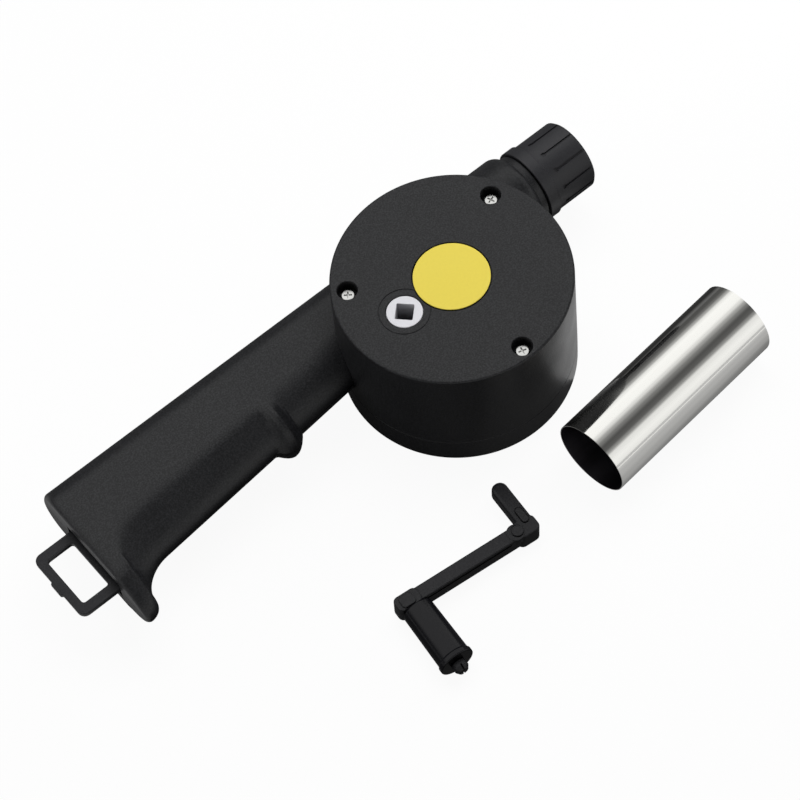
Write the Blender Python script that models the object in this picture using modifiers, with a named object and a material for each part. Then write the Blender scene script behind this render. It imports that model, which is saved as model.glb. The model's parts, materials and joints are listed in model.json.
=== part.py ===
# Hand cranked barbecue blower, lying on its back cover with the crank side up.
# Metres, +Z up. The drum's axis is Z through the origin, the table is at Z = 0,
# the handle points along -X and the air leaves along +X.

import math

import bmesh
import bpy
from mathutils import Matrix, Vector

MM = 0.001

# Clearances
SEAT_GAP = 0.3 * MM          # between a piece and what carries it
TOOTH_PLAY = 0.36 * MM       # taken off each gear tooth's thickness

# Drum
DRUM_RADIUS = 50.0 * MM      # at the crank side
DRUM_DRAFT = 0.5 * MM        # how much wider the drum is at the back
DRUM_HEIGHT = 63.2 * MM
DRUM_WALL = 2.3 * MM
TOP_PLATE = 2.5 * MM
TOP_EDGE = 0.9 * MM          # rounding of the top rim
DRUM_STEPS = 60

# Back cover
COVER_HEIGHT = 14.0 * MM
COVER_PLATE = 2.4 * MM
COVER_EDGE = 1.4 * MM
LIP_HEIGHT = 2.0 * MM
LIP_WALL = 1.5 * MM
SLOT_COUNT = 16
SLOT_WIDTH = 3.2 * MM
SLOT_INNER = 15.0 * MM
SLOT_OUTER = 33.0 * MM
POST_RADIUS = 3.4 * MM

# Screws that join the drum to the back cover
BOLT_INSET = 7.0 * MM        # their circle inside the drum's radius
BOLT_ANGLES = (28.0, 145.4, 270.0)
BOLT_CENTRE = (-0.4 * MM, -0.9 * MM)
RECESS_RADIUS = 4.3 * MM
RECESS_WALL = 0.9 * MM
RECESS_DEPTH = 6.0 * MM      # drum's top to the screws' seats
RECESS_FLOOR = 2.0 * MM
RECESS_TO_GEARS = 0.8 * MM
HEAD_RADIUS = 3.0 * MM
HEAD_HEIGHT = 2.0 * MM
SHANK_RADIUS = 1.5 * MM
COVER_SCREW_LENGTH = 13.0 * MM

# Gear train: drive gear to intermediate gear to impeller pinion
MODULE = 0.8 * MM
PRESSURE_ANGLE = math.radians(20.0)
DRIVE_TEETH = 44
WHEEL_TEETH = 36
PINION_TEETH = 12
CRANK_OFFSET = 0.5 * DRUM_RADIUS     # crank axis to drum axis
GEAR_FACE = 4.5 * MM
GEAR_SPACE = 1.2 * MM        # above the gear plate and between the two gear layers
PLATE_THICKNESS = 2.0 * MM
PLATE_EDGE_GAP = 0.4 * MM
PLATE_POST_RADIUS = 3.2 * MM
PLATE_POST_SHARES = ((0.48, -0.28), (0.24, 0.60), (-0.66, -0.56))  # of the drum's radius
PLATE_SCREW_LENGTH = 9.0 * MM
SMALL_HEAD_RADIUS = 2.3 * MM
SMALL_HEAD_HEIGHT = 1.5 * MM
SMALL_SHANK_RADIUS = 1.1 * MM
PIN_RADIUS = 2.0 * MM
PIN_BOSS_RADIUS = 4.4 * MM

# Crank socket in the drive gear
HUB_RADIUS = 7.5 * MM
HUB_COLLAR_RADIUS = 9.2 * MM
HUB_STEM_RADIUS = 6.4 * MM
HUB_PILOT_RADIUS = 3.0 * MM
HUB_FLOOR = 1.4 * MM
SOCKET_WIDTH = 7.3 * MM
SOCKET_TURN = math.radians(43.0)

# Impeller
SHAFT_RADIUS = 2.0 * MM
IMPELLER_TO_POSTS = 3.1 * MM
IMPELLER_DISC = 1.6 * MM
IMPELLER_TOP_GAP = 5.0 * MM  # impeller disc to gear plate
IMPELLER_HUB = 6.0 * MM
BLADE_COUNT = 10
BLADE_INNER = 15.0 * MM
BLADE_THICKNESS = 1.3 * MM
BLADE_LEAN = math.radians(16.0)
BLADE_FLOOR_GAP = 4.2 * MM   # blades to back cover plate
BUSH_RADIUS = 4.0 * MM
BUSH_HEIGHT = 5.0 * MM
BUSH_BOSS_WALL = 2.4 * MM
FRONT_BUSH_RADIUS = 3.6 * MM
FRONT_BUSH_HEIGHT = 4.4 * MM
FRONT_BOSS_WALL = 1.6 * MM
WASHER_RADIUS = 4.2 * MM
WASHER_THICKNESS = 0.6 * MM

# Label
LABEL_TO_HUB = 1.6 * MM
LABEL_THICKNESS = 0.4 * MM
LABEL_RECESS = 0.6 * MM
LABEL_STEPS = 48

# Outlet neck and collar, turned about an axis along +X
OUTLET_TO_PLATE = 13.7 * MM  # its axis below the gear plate
OUTLET_BORE = 12.4 * MM
SHOULDER_RADIUS = 19.0 * MM
SHOULDER_REACH = 7.5 * MM    # beyond the drum
SHOULDER_ROUND = 5.5 * MM
NECK_RADIUS = 16.1 * MM
NECK_LENGTH = 7.9 * MM       # from the shoulder's end
SPIGOT_RADIUS = 14.6 * MM
SPIGOT_LENGTH = 13.0 * MM
COLLAR_FLANGE_RADIUS = 17.2 * MM
COLLAR_FLANGE_LENGTH = 5.4 * MM
COLLAR_RADIUS = 16.4 * MM
COLLAR_LENGTH = 26.2 * MM
COLLAR_LIP = 1.2 * MM
COLLAR_STEP = 0.4 * MM       # slope behind the flange
COLLAR_BAND = 3.4 * MM       # plain band before the grooves
GROOVE_COUNT = 12
GROOVE_PHASE = math.radians(4.0)
GROOVE_WIDTH = 1.2 * MM
GROOVE_DEPTH = 0.9 * MM
OUTLET_STEPS = 48

# Handle
HANDLE_LENGTH = 180.0 * MM   # drum axis to the handle's end face
HANDLE_LEVEL = 25.0 * MM     # height of its parting plane
HANDLE_THICKNESS = 25.0 * MM
HANDLE_WIDTH = 41.1 * MM     # at the place below, which is hidden in the drum
HANDLE_WIDTH_PLACE = 34.0 * MM
HANDLE_TAPER = math.radians(5.65)
HANDLE_WALL = 2.4 * MM
HANDLE_INSET = 0.4 * MM      # far side of the handle inside the drum's width
SINK_SPARE = 0.1 * MM        # what the far side leaves of the drum's wall where it ends
HANDLE_END_EDGE = 2.6 * MM
FAR_ROUND = 10.0 * MM
NEAR_ROUND = 12.0 * MM
NEAR_ROUND_GAIN = 4.5 * MM   # how much wider the rounding is at the heel
CREASE = 22.0                # degrees, how far the grip's rounding stops short of level
CREASE_START = 94.0 * MM
CREASE_RUN = 9.0 * MM
HEEL_START = HANDLE_LENGTH - 24.0 * MM
HEEL_RUN = 16.0 * MM
HEEL_DROP = 12.3 * MM
HEEL_TIP = 4.4 * MM
STOP_PLACE = 87.0 * MM       # finger stop, from the drum axis
STOP_HALF_WIDTH = 7.0 * MM
STOP_HEIGHT = 5.0 * MM
STOP_SQUARENESS = 0.35
HANDLE_SCREWS = ((0.4 * HANDLE_LENGTH, 26.0 * MM), (HANDLE_LENGTH - 30.0 * MM, 22.0 * MM))
HANDLE_SCREW_LENGTH = 14.0 * MM
HANDLE_BOSS_RADIUS = 4.6 * MM
HANDLE_WELL_DEPTH = 6.0 * MM

# Hanging loop, hinged in a pocket in the handle's end
LOOP_WIDTH = 34.4 * MM
LOOP_REACH = 18.7 * MM       # beyond the handle's end face
LOOP_BAR = 3.9 * MM
LOOP_SIDE = 4.8 * MM
LOOP_THICKNESS = 2.4 * MM
LOOP_CORNER = 3.4 * MM
LOOP_ROOT = 1.9 * MM         # inner bar beyond the end face
LOOP_CENTRE = 13.4 * MM      # its middle, from the drum axis along +Y
LOOP_TAB_LENGTH = 8.4 * MM
LOOP_TAB_HEIGHT = 0.9 * MM
LOOP_AXIS_DEPTH = 2.5 * MM   # hinge axis inside the end face
LOOP_TAIL = 2.2 * MM         # inner bar behind the hinge axis
TRUNNION_RADIUS = 1.3 * MM
TRUNNION_LENGTH = 2.6 * MM
POCKET_HALF_HEIGHT = 5.5 * MM
POCKET_BACK_GAP = 1.2 * MM

# Steel outlet tube, taken off and lying beside the drum
TUBE_WALL = 0.4 * MM
TUBE_FIT = 0.5 * MM          # collar to the tube's inside
TUBE_LENGTH = 90.3 * MM
TUBE_CENTRE = (47.2 * MM, -77.6 * MM)
TUBE_TURN = math.radians(5.3)
TUBE_STEPS = 48

# Crank, taken off and lying in front of the handle
CRANK_PLACE = (-34.4 * MM, -84.2 * MM)
CRANK_TURN = math.radians(174.0)
ARM_LENGTH = 57.6 * MM
ARM_WIDTH = 6.2 * MM
ARM_HEIGHT = 8.2 * MM
ARM_FLANGE = 1.5 * MM        # above the groove in the arm's side
ARM_GROOVE = 1.2 * MM
ELBOW_HEIGHT = 9.2 * MM
ELBOW_HALF = 4.0 * MM
ELBOW_RUN = 6.4 * MM         # elbow block along the arm
ELBOW_DOT = 2.5 * MM
KNUCKLE_BACK = 4.1 * MM
KNUCKLE_FRONT = 7.2 * MM     # past the grip's axis
KNUCKLE_SIDE = 3.6 * MM
ARM_CORNER = 1.0 * MM
ELBOW_CORNER = 1.4 * MM
KNUCKLE_CORNER = 2.4 * MM
PAD_CORNER = 1.6 * MM
BOSS_INSET = 0.2 * MM        # round boss inside the elbow's width
EYE_FLOOR = 1.4 * MM         # material behind the hole for the grip's pin
RAISED = 0.5 * MM            # marks standing on the crank's top
OVAL = (2.2 * MM, 9.4 * MM, 2.6 * MM)
STUB_FIT = 0.2 * MM          # crank stub to the socket's walls
STUB_LENGTH = 23.6 * MM      # from the drive elbow's middle
STUB_TIP = 2.6 * MM
GRIP_RADIUS = 6.7 * MM
GRIP_END_RADIUS = 7.05 * MM
GRIP_FLANGE_RADIUS = 7.6 * MM
GRIP_FLANGE = 2.2 * MM
GRIP_LENGTH = 29.0 * MM
GRIP_EDGE = 0.5 * MM
GRIP_PIN_RADIUS = 2.4 * MM
GRIP_HEAD_RADIUS = 3.2 * MM
GRIP_HEAD_LENGTH = 4.6 * MM
GRIP_HEAD_TAPER = 1.8 * MM
GRIP_HEAD_CROWN = 0.3 * MM
GRIP_STEPS = 32

# Levels worked out from the sizes above
INNER_TOP = DRUM_HEIGHT - TOP_PLATE
SCREW_SEAT = DRUM_HEIGHT - RECESS_DEPTH
RECESS_BOTTOM = SCREW_SEAT - RECESS_FLOOR
UPPER_GEARS_TOP = RECESS_BOTTOM - RECESS_TO_GEARS
UPPER_GEARS = UPPER_GEARS_TOP - GEAR_FACE
LOWER_GEARS = UPPER_GEARS - GEAR_SPACE - GEAR_FACE
PLATE_TOP = LOWER_GEARS - GEAR_SPACE
PLATE_LEVEL = PLATE_TOP - PLATE_THICKNESS
OUTLET_LEVEL = PLATE_LEVEL - OUTLET_TO_PLATE
INNER_RADIUS = DRUM_RADIUS - DRUM_WALL
BOLT_CIRCLE = DRUM_RADIUS - BOLT_INSET
IMPELLER_RADIUS = BOLT_CIRCLE - POST_RADIUS - IMPELLER_TO_POSTS
PLATE_POSTS = [(across * DRUM_RADIUS, up * DRUM_RADIUS) for across, up in PLATE_POST_SHARES]
LABEL_RADIUS = CRANK_OFFSET - HUB_RADIUS - LABEL_TO_HUB
SHOULDER_END = DRUM_RADIUS + SHOULDER_REACH
NECK_END = SHOULDER_END + NECK_LENGTH
BASE_RADIUS = DRUM_RADIUS + DRUM_DRAFT
BUSH_TOP = COVER_PLATE + SEAT_GAP + BUSH_HEIGHT
OUTLET_Y = DRUM_RADIUS - SHOULDER_RADIUS
HANDLE_FAR = DRUM_RADIUS - HANDLE_INSET
TUBE_RADIUS = COLLAR_RADIUS + TUBE_FIT + TUBE_WALL
STUB_WIDTH = SOCKET_WIDTH - 2 * STUB_FIT
LOOP_AXIS_X = -HANDLE_LENGTH + LOOP_AXIS_DEPTH
CEILING = INNER_TOP - SEAT_GAP
SLEEVE = 2 * SEAT_GAP        # extra reach of a cutter past a face


def clear_scene():
    for obj in list(bpy.data.objects):
        bpy.data.objects.remove(obj, do_unlink=True)


def new_collection(name):
    made = bpy.data.collections.new(name)
    bpy.context.scene.collection.children.link(made)
    return made


clear_scene()
BLOWER = new_collection("barbecue_blower")
CUTTERS = new_collection("cutters")


# Surfaces: colour, roughness and metallic value
BLACK_PLASTIC = ((0.030, 0.031, 0.034), 0.55, 0.0)
COLLAR_PLASTIC = ((0.024, 0.024, 0.027), 0.45, 0.0)
CRANK_PLASTIC = ((0.020, 0.020, 0.023), 0.5, 0.0)
GRIP_PLASTIC = ((0.010, 0.010, 0.012), 0.3, 0.0)
IMPELLER_PLASTIC = ((0.045, 0.046, 0.050), 0.5, 0.0)
PLATE_PLASTIC = ((0.060, 0.060, 0.062), 0.55, 0.0)
WHITE_NYLON = ((0.78, 0.78, 0.80), 0.4, 0.0)
YELLOW_LABEL = ((0.78, 0.66, 0.10), 0.35, 0.0)
STEEL_TUBE = ((0.62, 0.61, 0.58), 0.12, 1.0)
STEEL_PART = ((0.55, 0.55, 0.56), 0.25, 1.0)
BRONZE_BUSH = ((0.45, 0.30, 0.14), 0.4, 1.0)


def make_material(name, look):
    colour, roughness, metallic = look
    made = bpy.data.materials.new(name)
    made.use_nodes = True
    shader = made.node_tree.nodes["Principled BSDF"]
    shader.inputs["Base Color"].default_value = (*colour, 1.0)
    shader.inputs["Roughness"].default_value = roughness
    shader.inputs["Metallic"].default_value = metallic
    made.diffuse_color = (*colour, 1.0)
    return made


# Basic shapes

def place(obj, part=None, look=None):
    if part is None:
        CUTTERS.objects.link(obj)
        obj.hide_render = True
        obj.display_type = "WIRE"
    else:
        BLOWER.objects.link(obj)
        obj.data.materials.append(make_material(obj.name, look))
    return obj


def finish(obj, angle=35.0):
    obj.data.shade_smooth()
    obj.data.set_sharp_from_angle(angle=math.radians(angle))
    return obj


def from_bmesh(name, bm, part=None, look=None):
    mesh = bpy.data.meshes.new(name)
    bm.to_mesh(mesh)
    bm.free()
    return place(finish(bpy.data.objects.new(name, mesh)), part, look)


def turned(name, profile, steps, closed=False, part=None, look=None, matrix=None):
    # The profile is (radius, height) pairs, running down the outer side.
    bm = bmesh.new()
    verts = [bm.verts.new((radius, 0.0, height)) for radius, height in profile]
    for first, second in zip(verts, verts[1:]):
        bm.edges.new((first, second))
    if closed:
        bm.edges.new((verts[-1], verts[0]))
    obj = from_bmesh(name, bm, part, look)
    screw = obj.modifiers.new("turn", "SCREW")
    screw.axis = "Z"
    screw.angle = 2 * math.pi
    screw.steps = steps
    screw.render_steps = steps
    screw.use_merge_vertices = True
    screw.merge_threshold = 0.00001
    screw.use_smooth_shade = True
    if matrix is not None:
        obj.matrix_world = matrix
    return obj


def flat(name, outlines, bottom, top, part=None, look=None):
    # A flat outline with its holes, as a plate from bottom to top.
    curve = bpy.data.curves.new(name, "CURVE")
    curve.dimensions = "2D"
    curve.fill_mode = "BOTH"
    curve.extrude = 0.5 * (top - bottom)
    for outline in outlines:
        spline = curve.splines.new("POLY")
        spline.points.add(len(outline) - 1)
        for point, (x, y) in zip(spline.points, outline):
            point.co = (x, y, 0.0, 1.0)
        spline.use_cyclic_u = True
    source = bpy.data.objects.new(name + "_outline", curve)
    CUTTERS.objects.link(source)
    source.location.z = 0.5 * (top + bottom)
    bpy.context.view_layer.update()
    evaluated = source.evaluated_get(bpy.context.evaluated_depsgraph_get())
    mesh = bpy.data.meshes.new_from_object(evaluated)
    bm = bmesh.new()
    bm.from_mesh(mesh)
    bm.transform(source.matrix_world)
    bmesh.ops.remove_doubles(bm, verts=bm.verts[:], dist=0.000001)
    bmesh.ops.recalc_face_normals(bm, faces=bm.faces[:])
    bpy.data.objects.remove(source)
    bpy.data.meshes.remove(mesh)
    return from_bmesh(name, bm, part, look)


def add_cylinder(bm, centre, radius, bottom, top, steps):
    middle = Matrix.Translation((centre[0], centre[1], 0.5 * (bottom + top)))
    bmesh.ops.create_cone(bm, cap_ends=True, segments=steps, radius1=radius, radius2=radius,
                          depth=top - bottom, matrix=middle)


def cylinders(name, rows, part=None, look=None, steps=20):
    # Rows of (centre, radius, bottom, top) that stand clear of each other.
    bm = bmesh.new()
    for centre, radius, bottom, top in rows:
        add_cylinder(bm, centre, radius, bottom, top, steps)
    return from_bmesh(name, bm, part, look)


def add_box(bm, low, high):
    size = [b - a for a, b in zip(low, high)]
    middle = [0.5 * (a + b) for a, b in zip(low, high)]
    matrix = Matrix.Translation(middle) @ Matrix.Diagonal((*size, 1.0))
    bmesh.ops.create_cube(bm, size=1.0, matrix=matrix)


def box(name, low, high, part=None, look=None):
    bm = bmesh.new()
    add_box(bm, low, high)
    return from_bmesh(name, bm, part, look)


def combine(obj, other, operation):
    step = obj.modifiers.new(other.name, "BOOLEAN")
    step.operation = operation
    step.object = other
    return obj


def cut(obj, *others):
    for other in others:
        combine(obj, other, "DIFFERENCE")
    return obj


def join(obj, *others):
    for other in others:
        combine(obj, other, "UNION")
    return obj


def around(centre, radius, angle):
    return (centre[0] + radius * math.cos(angle), centre[1] + radius * math.sin(angle))


def bolt_place(degrees):
    return around(BOLT_CENTRE, BOLT_CIRCLE, math.radians(degrees))


def arc(centre, radius, start, end, count):
    # Points on an arc, ends included, angles in degrees.
    step = (end - start) / (count - 1)
    return [around(centre, radius, math.radians(start + step * i)) for i in range(count)]


def slot_outline(inner, outer, width, degrees):
    # A slot with round ends that runs outward at the given angle.
    half = 0.5 * width
    outline = arc((outer - half, 0.0), half, -90.0, 90.0, 6) + arc((inner + half, 0.0), half, 90.0, 270.0, 6)
    turn = Matrix.Rotation(math.radians(degrees), 2)
    return [tuple(turn @ Vector(point)) for point in outline]


def rounded_box_outline(low, high, radius):
    corners = (((high[0] - radius, high[1] - radius), 0.0), ((low[0] + radius, high[1] - radius), 90.0),
               ((low[0] + radius, low[1] + radius), 180.0), ((high[0] - radius, low[1] + radius), 270.0))
    outline = []
    for centre, start in corners:
        outline += arc(centre, radius, start, start + 90.0, 5)
    return outline


# Gears

def drive_to_wheel():
    return 0.5 * MODULE * (DRIVE_TEETH + PINION_TEETH)


def wheel_to_impeller():
    return 0.5 * MODULE * (WHEEL_TEETH + PINION_TEETH)


DRIVE_AXIS = (-CRANK_OFFSET, 0.0)


def intermediate_axis():
    # Where the two centre distances meet, on the side away from the outlet.
    first, second = drive_to_wheel(), wheel_to_impeller()
    along = (CRANK_OFFSET ** 2 + first ** 2 - second ** 2) / (2 * CRANK_OFFSET)
    aside = math.sqrt(first ** 2 - along ** 2)
    return (DRIVE_AXIS[0] + along, -aside)


WHEEL_AXIS = intermediate_axis()


def involute(angle):
    return math.tan(angle) - angle


def gear_outline(teeth, axis, tooth_angle):
    # Involute teeth with one tooth's middle at tooth_angle, thinned for play.
    pitch = 0.5 * MODULE * teeth
    base = pitch * math.cos(PRESSURE_ANGLE)
    tip = pitch + MODULE
    root = pitch - 1.25 * MODULE
    half_tooth = 0.5 * (0.5 * math.pi * MODULE - TOOTH_PLAY) / pitch
    foot = max(root, base)
    flank = []
    for share in (0.0, 0.5, 1.0):
        radius = foot + (tip - foot) * share
        half_angle = half_tooth + involute(PRESSURE_ANGLE) - involute(math.acos(min(1.0, base / radius)))
        flank.append((radius, half_angle))
    if root < base:
        flank.insert(0, (root, flank[0][1]))
    outline = []
    for tooth in range(teeth):
        middle = tooth_angle + 2 * math.pi * tooth / teeth
        outline += [around(axis, radius, middle - half_angle) for radius, half_angle in flank]
        outline += [around(axis, radius, middle + half_angle) for radius, half_angle in reversed(flank)]
    return outline


def direction(start, end):
    return math.atan2(end[1] - start[1], end[0] - start[0])


def gap_angle(teeth, facing):
    # A tooth's place so that a gap faces the given direction.
    return facing + math.pi / teeth


def circle(centre, radius, count=24):
    return arc(centre, radius, 0.0, 360.0 * (count - 1) / count, count)


def build_drive_gear():
    facing = direction(DRIVE_AXIS, WHEEL_AXIS)
    gear = flat("drive_gear", [gear_outline(DRIVE_TEETH, DRIVE_AXIS, facing)], UPPER_GEARS, UPPER_GEARS_TOP,
                BLOWER, WHITE_NYLON)
    foot = PLATE_TOP + SEAT_GAP
    collar = cylinders("drive_gear_collar",
                       [(DRIVE_AXIS, HUB_COLLAR_RADIUS, UPPER_GEARS_TOP - SEAT_GAP, CEILING)])
    hub = cylinders("drive_gear_hub", [(DRIVE_AXIS, HUB_RADIUS, CEILING - SEAT_GAP, DRUM_HEIGHT)])
    stem = cylinders("drive_gear_stem", [(DRIVE_AXIS, HUB_STEM_RADIUS, foot, UPPER_GEARS + SEAT_GAP)])
    pilot = cylinders("drive_gear_pilot", [(DRIVE_AXIS, HUB_PILOT_RADIUS, PLATE_LEVEL, foot + SEAT_GAP)])
    half = 0.5 * SOCKET_WIDTH
    socket = box("crank_socket", (-half, -half, foot + HUB_FLOOR), (half, half, DRUM_HEIGHT + SLEEVE))
    socket.matrix_world = Matrix.Translation((*DRIVE_AXIS, 0.0)) @ Matrix.Rotation(SOCKET_TURN, 4, "Z")
    join(gear, collar, hub, stem, pilot)
    cut(gear, socket)


def build_intermediate_gear():
    to_impeller = direction(WHEEL_AXIS, (0.0, 0.0))
    to_drive = direction(WHEEL_AXIS, DRIVE_AXIS)
    gear = flat("intermediate_gear", [gear_outline(WHEEL_TEETH, WHEEL_AXIS, to_impeller)],
                LOWER_GEARS, LOWER_GEARS + GEAR_FACE, BLOWER, WHITE_NYLON)
    pinion_teeth = gear_outline(PINION_TEETH, WHEEL_AXIS, gap_angle(PINION_TEETH, to_drive))
    pinion = flat("intermediate_pinion", [pinion_teeth], LOWER_GEARS + GEAR_FACE - SEAT_GAP, UPPER_GEARS_TOP)
    foot = cylinders("intermediate_foot",
                     [(WHEEL_AXIS, PIN_BOSS_RADIUS, PLATE_TOP + SEAT_GAP, LOWER_GEARS + SEAT_GAP)])
    bore = cylinders("intermediate_bore", [(WHEEL_AXIS, PIN_RADIUS + SEAT_GAP, PLATE_TOP, DRUM_HEIGHT)])
    join(gear, pinion, foot)
    cut(gear, bore)


def build_impeller_pinion():
    facing = direction((0.0, 0.0), WHEEL_AXIS)
    outline = gear_outline(PINION_TEETH, (0.0, 0.0), gap_angle(PINION_TEETH, facing))
    bore = circle((0.0, 0.0), SHAFT_RADIUS + SEAT_GAP)
    flat("impeller_pinion", [outline, bore], LOWER_GEARS, LOWER_GEARS + GEAR_FACE, BLOWER, WHITE_NYLON)


def build_gear_plate():
    outline = circle((0.0, 0.0), INNER_RADIUS - PLATE_EDGE_GAP, DRUM_STEPS)
    plate = flat("gear_plate", [outline], PLATE_LEVEL, PLATE_TOP, BLOWER, PLATE_PLASTIC)
    below, above = PLATE_LEVEL - SLEEVE, PLATE_TOP + SLEEVE
    holes = [(bolt_place(angle), POST_RADIUS + SEAT_GAP, below, above) for angle in BOLT_ANGLES]
    holes += [(post, SMALL_SHANK_RADIUS + SEAT_GAP, below, above) for post in PLATE_POSTS]
    holes.append(((0.0, 0.0), SHAFT_RADIUS + SEAT_GAP, below, above))
    holes.append((DRIVE_AXIS, HUB_PILOT_RADIUS + SEAT_GAP, below, above))
    holes.append((WHEEL_AXIS, PIN_RADIUS + SEAT_GAP, below, above))
    cut(plate, cylinders("gear_plate_holes", holes))


# Screws and pins

def screw_profile(head_radius, head_height, shank_radius, length):
    # Pan head above zero, shank below, with a pointed end.
    crown = 0.35 * head_height
    return [(0.0, head_height), (0.6 * head_radius, head_height), (head_radius, head_height - crown),
            (head_radius, 0.0), (shank_radius, 0.0), (shank_radius, -length + shank_radius), (0.0, -length)]


def cross_outline(reach, width):
    half = 0.5 * width
    outline = []
    for turn in (0.0, 90.0, 180.0, 270.0):
        rotation = Matrix.Rotation(math.radians(turn), 2)
        corners = ((reach, -half), (reach, half), (half, half))
        outline += [tuple(rotation @ Vector(corner)) for corner in corners]
    return outline


def build_screw(name, centre, seat, head_radius, head_height, shank_radius, length, points_up):
    profile = screw_profile(head_radius, head_height, shank_radius, length)
    lie = Matrix.Rotation(math.pi, 4, "X") if points_up else Matrix.Identity(4)
    spot = Matrix.Translation((*centre, seat)) @ lie
    screw = turned(name, profile, 16, part=BLOWER, look=STEEL_PART, matrix=spot)
    recess = flat(name + "_cross", [cross_outline(0.62 * head_radius, 0.26 * head_radius)],
                  0.35 * head_height, head_height + SEAT_GAP)
    recess.matrix_world = spot
    cut(screw, recess)


def build_screws():
    for number, angle in enumerate(BOLT_ANGLES, 1):
        build_screw(f"cover_screw_{number}", bolt_place(angle), SCREW_SEAT + SEAT_GAP,
                    HEAD_RADIUS, HEAD_HEIGHT, SHANK_RADIUS, COVER_SCREW_LENGTH, False)
    for number, post in enumerate(PLATE_POSTS, 1):
        build_screw(f"plate_screw_{number}", post, PLATE_LEVEL - SEAT_GAP,
                    SMALL_HEAD_RADIUS, SMALL_HEAD_HEIGHT, SMALL_SHANK_RADIUS, PLATE_SCREW_LENGTH, True)
    seat = handle_bottom() + HANDLE_WELL_DEPTH - SEAT_GAP
    for number, spot in enumerate(handle_screw_spots(), 1):
        build_screw(f"handle_screw_{number}", spot, seat,
                    HEAD_RADIUS, HEAD_HEIGHT, SHANK_RADIUS, HANDLE_SCREW_LENGTH, True)


def ring(name, outer, inner, bottom, top, look, steps=32, centre=(0.0, 0.0)):
    profile = [(inner, top), (outer, top), (outer, bottom), (inner, bottom)]
    return turned(name, profile, steps, closed=True, part=BLOWER, look=look,
                  matrix=Matrix.Translation((*centre, 0.0)))


def build_shafts():
    foot = COVER_PLATE + SEAT_GAP
    cylinders("impeller_shaft", [((0.0, 0.0), SHAFT_RADIUS, foot, CEILING)], BLOWER, STEEL_PART)
    cylinders("intermediate_pin", [(WHEEL_AXIS, PIN_RADIUS, PLATE_LEVEL, CEILING)], BLOWER, STEEL_PART)
    bore = SHAFT_RADIUS + SEAT_GAP
    ring("rear_shaft_bush", BUSH_RADIUS, bore, foot, BUSH_TOP, BRONZE_BUSH)
    ring("front_shaft_bush", FRONT_BUSH_RADIUS, bore, CEILING - FRONT_BUSH_HEIGHT, CEILING, BRONZE_BUSH)
    washer_foot = BUSH_TOP + SEAT_GAP
    ring("thrust_washer", WASHER_RADIUS, bore, washer_foot, washer_foot + WASHER_THICKNESS, STEEL_PART)


# Impeller

def blade_outline(degrees):
    # A blade of even thickness that leans back as it runs outward.
    outer = IMPELLER_RADIUS - BLADE_THICKNESS
    count = 7
    sides = ([], [])
    for i in range(count):
        share = i / (count - 1)
        radius = BLADE_INNER + (outer - BLADE_INNER) * share
        angle = math.radians(degrees) + BLADE_LEAN * share ** 1.5
        for side, sign in zip(sides, (-0.5, 0.5)):
            turn = angle + sign * BLADE_THICKNESS / radius
            side.append((radius * math.cos(turn), radius * math.sin(turn)))
    return sides[0] + sides[1][::-1]


def build_impeller():
    disc_top = PLATE_LEVEL - IMPELLER_TOP_GAP
    disc_bottom = disc_top - IMPELLER_DISC
    bottom = COVER_PLATE + BLADE_FLOOR_GAP
    hub_bottom = BUSH_TOP + 2 * SEAT_GAP + WASHER_THICKNESS
    bore = SHAFT_RADIUS + SEAT_GAP
    profile = [(bore, disc_top), (IMPELLER_RADIUS, disc_top), (IMPELLER_RADIUS, disc_bottom),
               (IMPELLER_HUB, disc_bottom), (IMPELLER_HUB, hub_bottom), (bore, hub_bottom)]
    impeller = turned("impeller", profile, 48, closed=True, part=BLOWER, look=IMPELLER_PLASTIC)
    blades = [blade_outline(360.0 * i / BLADE_COUNT) for i in range(BLADE_COUNT)]
    join(impeller, flat("impeller_blades", blades, bottom, disc_bottom + 0.5 * IMPELLER_DISC))


# Handle

def clamp(value):
    return min(1.0, max(0.0, value))


def heel_tip_run():
    return HANDLE_LENGTH - HANDLE_END_EDGE - HEEL_START - HEEL_RUN


def stop_share(reach):
    return max(0.0, 1.0 - ((reach - STOP_PLACE) / STOP_HALF_WIDTH) ** 2)


def grip_side(reach):
    # Near side of the handle at a distance from the drum axis.
    line = HANDLE_FAR - HANDLE_WIDTH - math.tan(HANDLE_TAPER) * (reach - HANDLE_WIDTH_PLACE)
    heel = HEEL_DROP * (1.0 - math.sqrt(1.0 - clamp((reach - HEEL_START) / HEEL_RUN) ** 2))
    left = 1.0 - clamp((reach - HEEL_START - HEEL_RUN) / heel_tip_run())
    return line - STOP_HEIGHT * stop_share(reach) - heel - HEEL_TIP * math.sqrt(1.0 - left ** 2)


def far_side(reach):
    # The far side is straight, and turns into the drum's wall where they meet.
    start = 0.6 * DRUM_RADIUS
    sink = max(0.0, start - reach) / (start - 0.1 * DRUM_RADIUS)
    return HANDLE_FAR - (DRUM_WALL - SINK_SPARE) * sink ** 2


def handle_bottom():
    return HANDLE_LEVEL - 0.5 * HANDLE_THICKNESS


def near_round(reach):
    share = clamp((reach - STOP_PLACE) / (HEEL_START - STOP_PLACE))
    return NEAR_ROUND + STOP_HEIGHT * stop_share(reach) + NEAR_ROUND_GAIN * share


def quarter(crease, power):
    # Points of a rounded edge as shares of its depth and height, from level to upright.
    last = math.radians(90.0 - crease)
    points = []
    for i in range(7):
        turn = last * (6 - i) / 6
        depth = (1.0 - math.cos(turn) ** power) / (1.0 - math.cos(last) ** power)
        points.append((depth, (math.sin(turn) / math.sin(last)) ** power))
    return points


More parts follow.
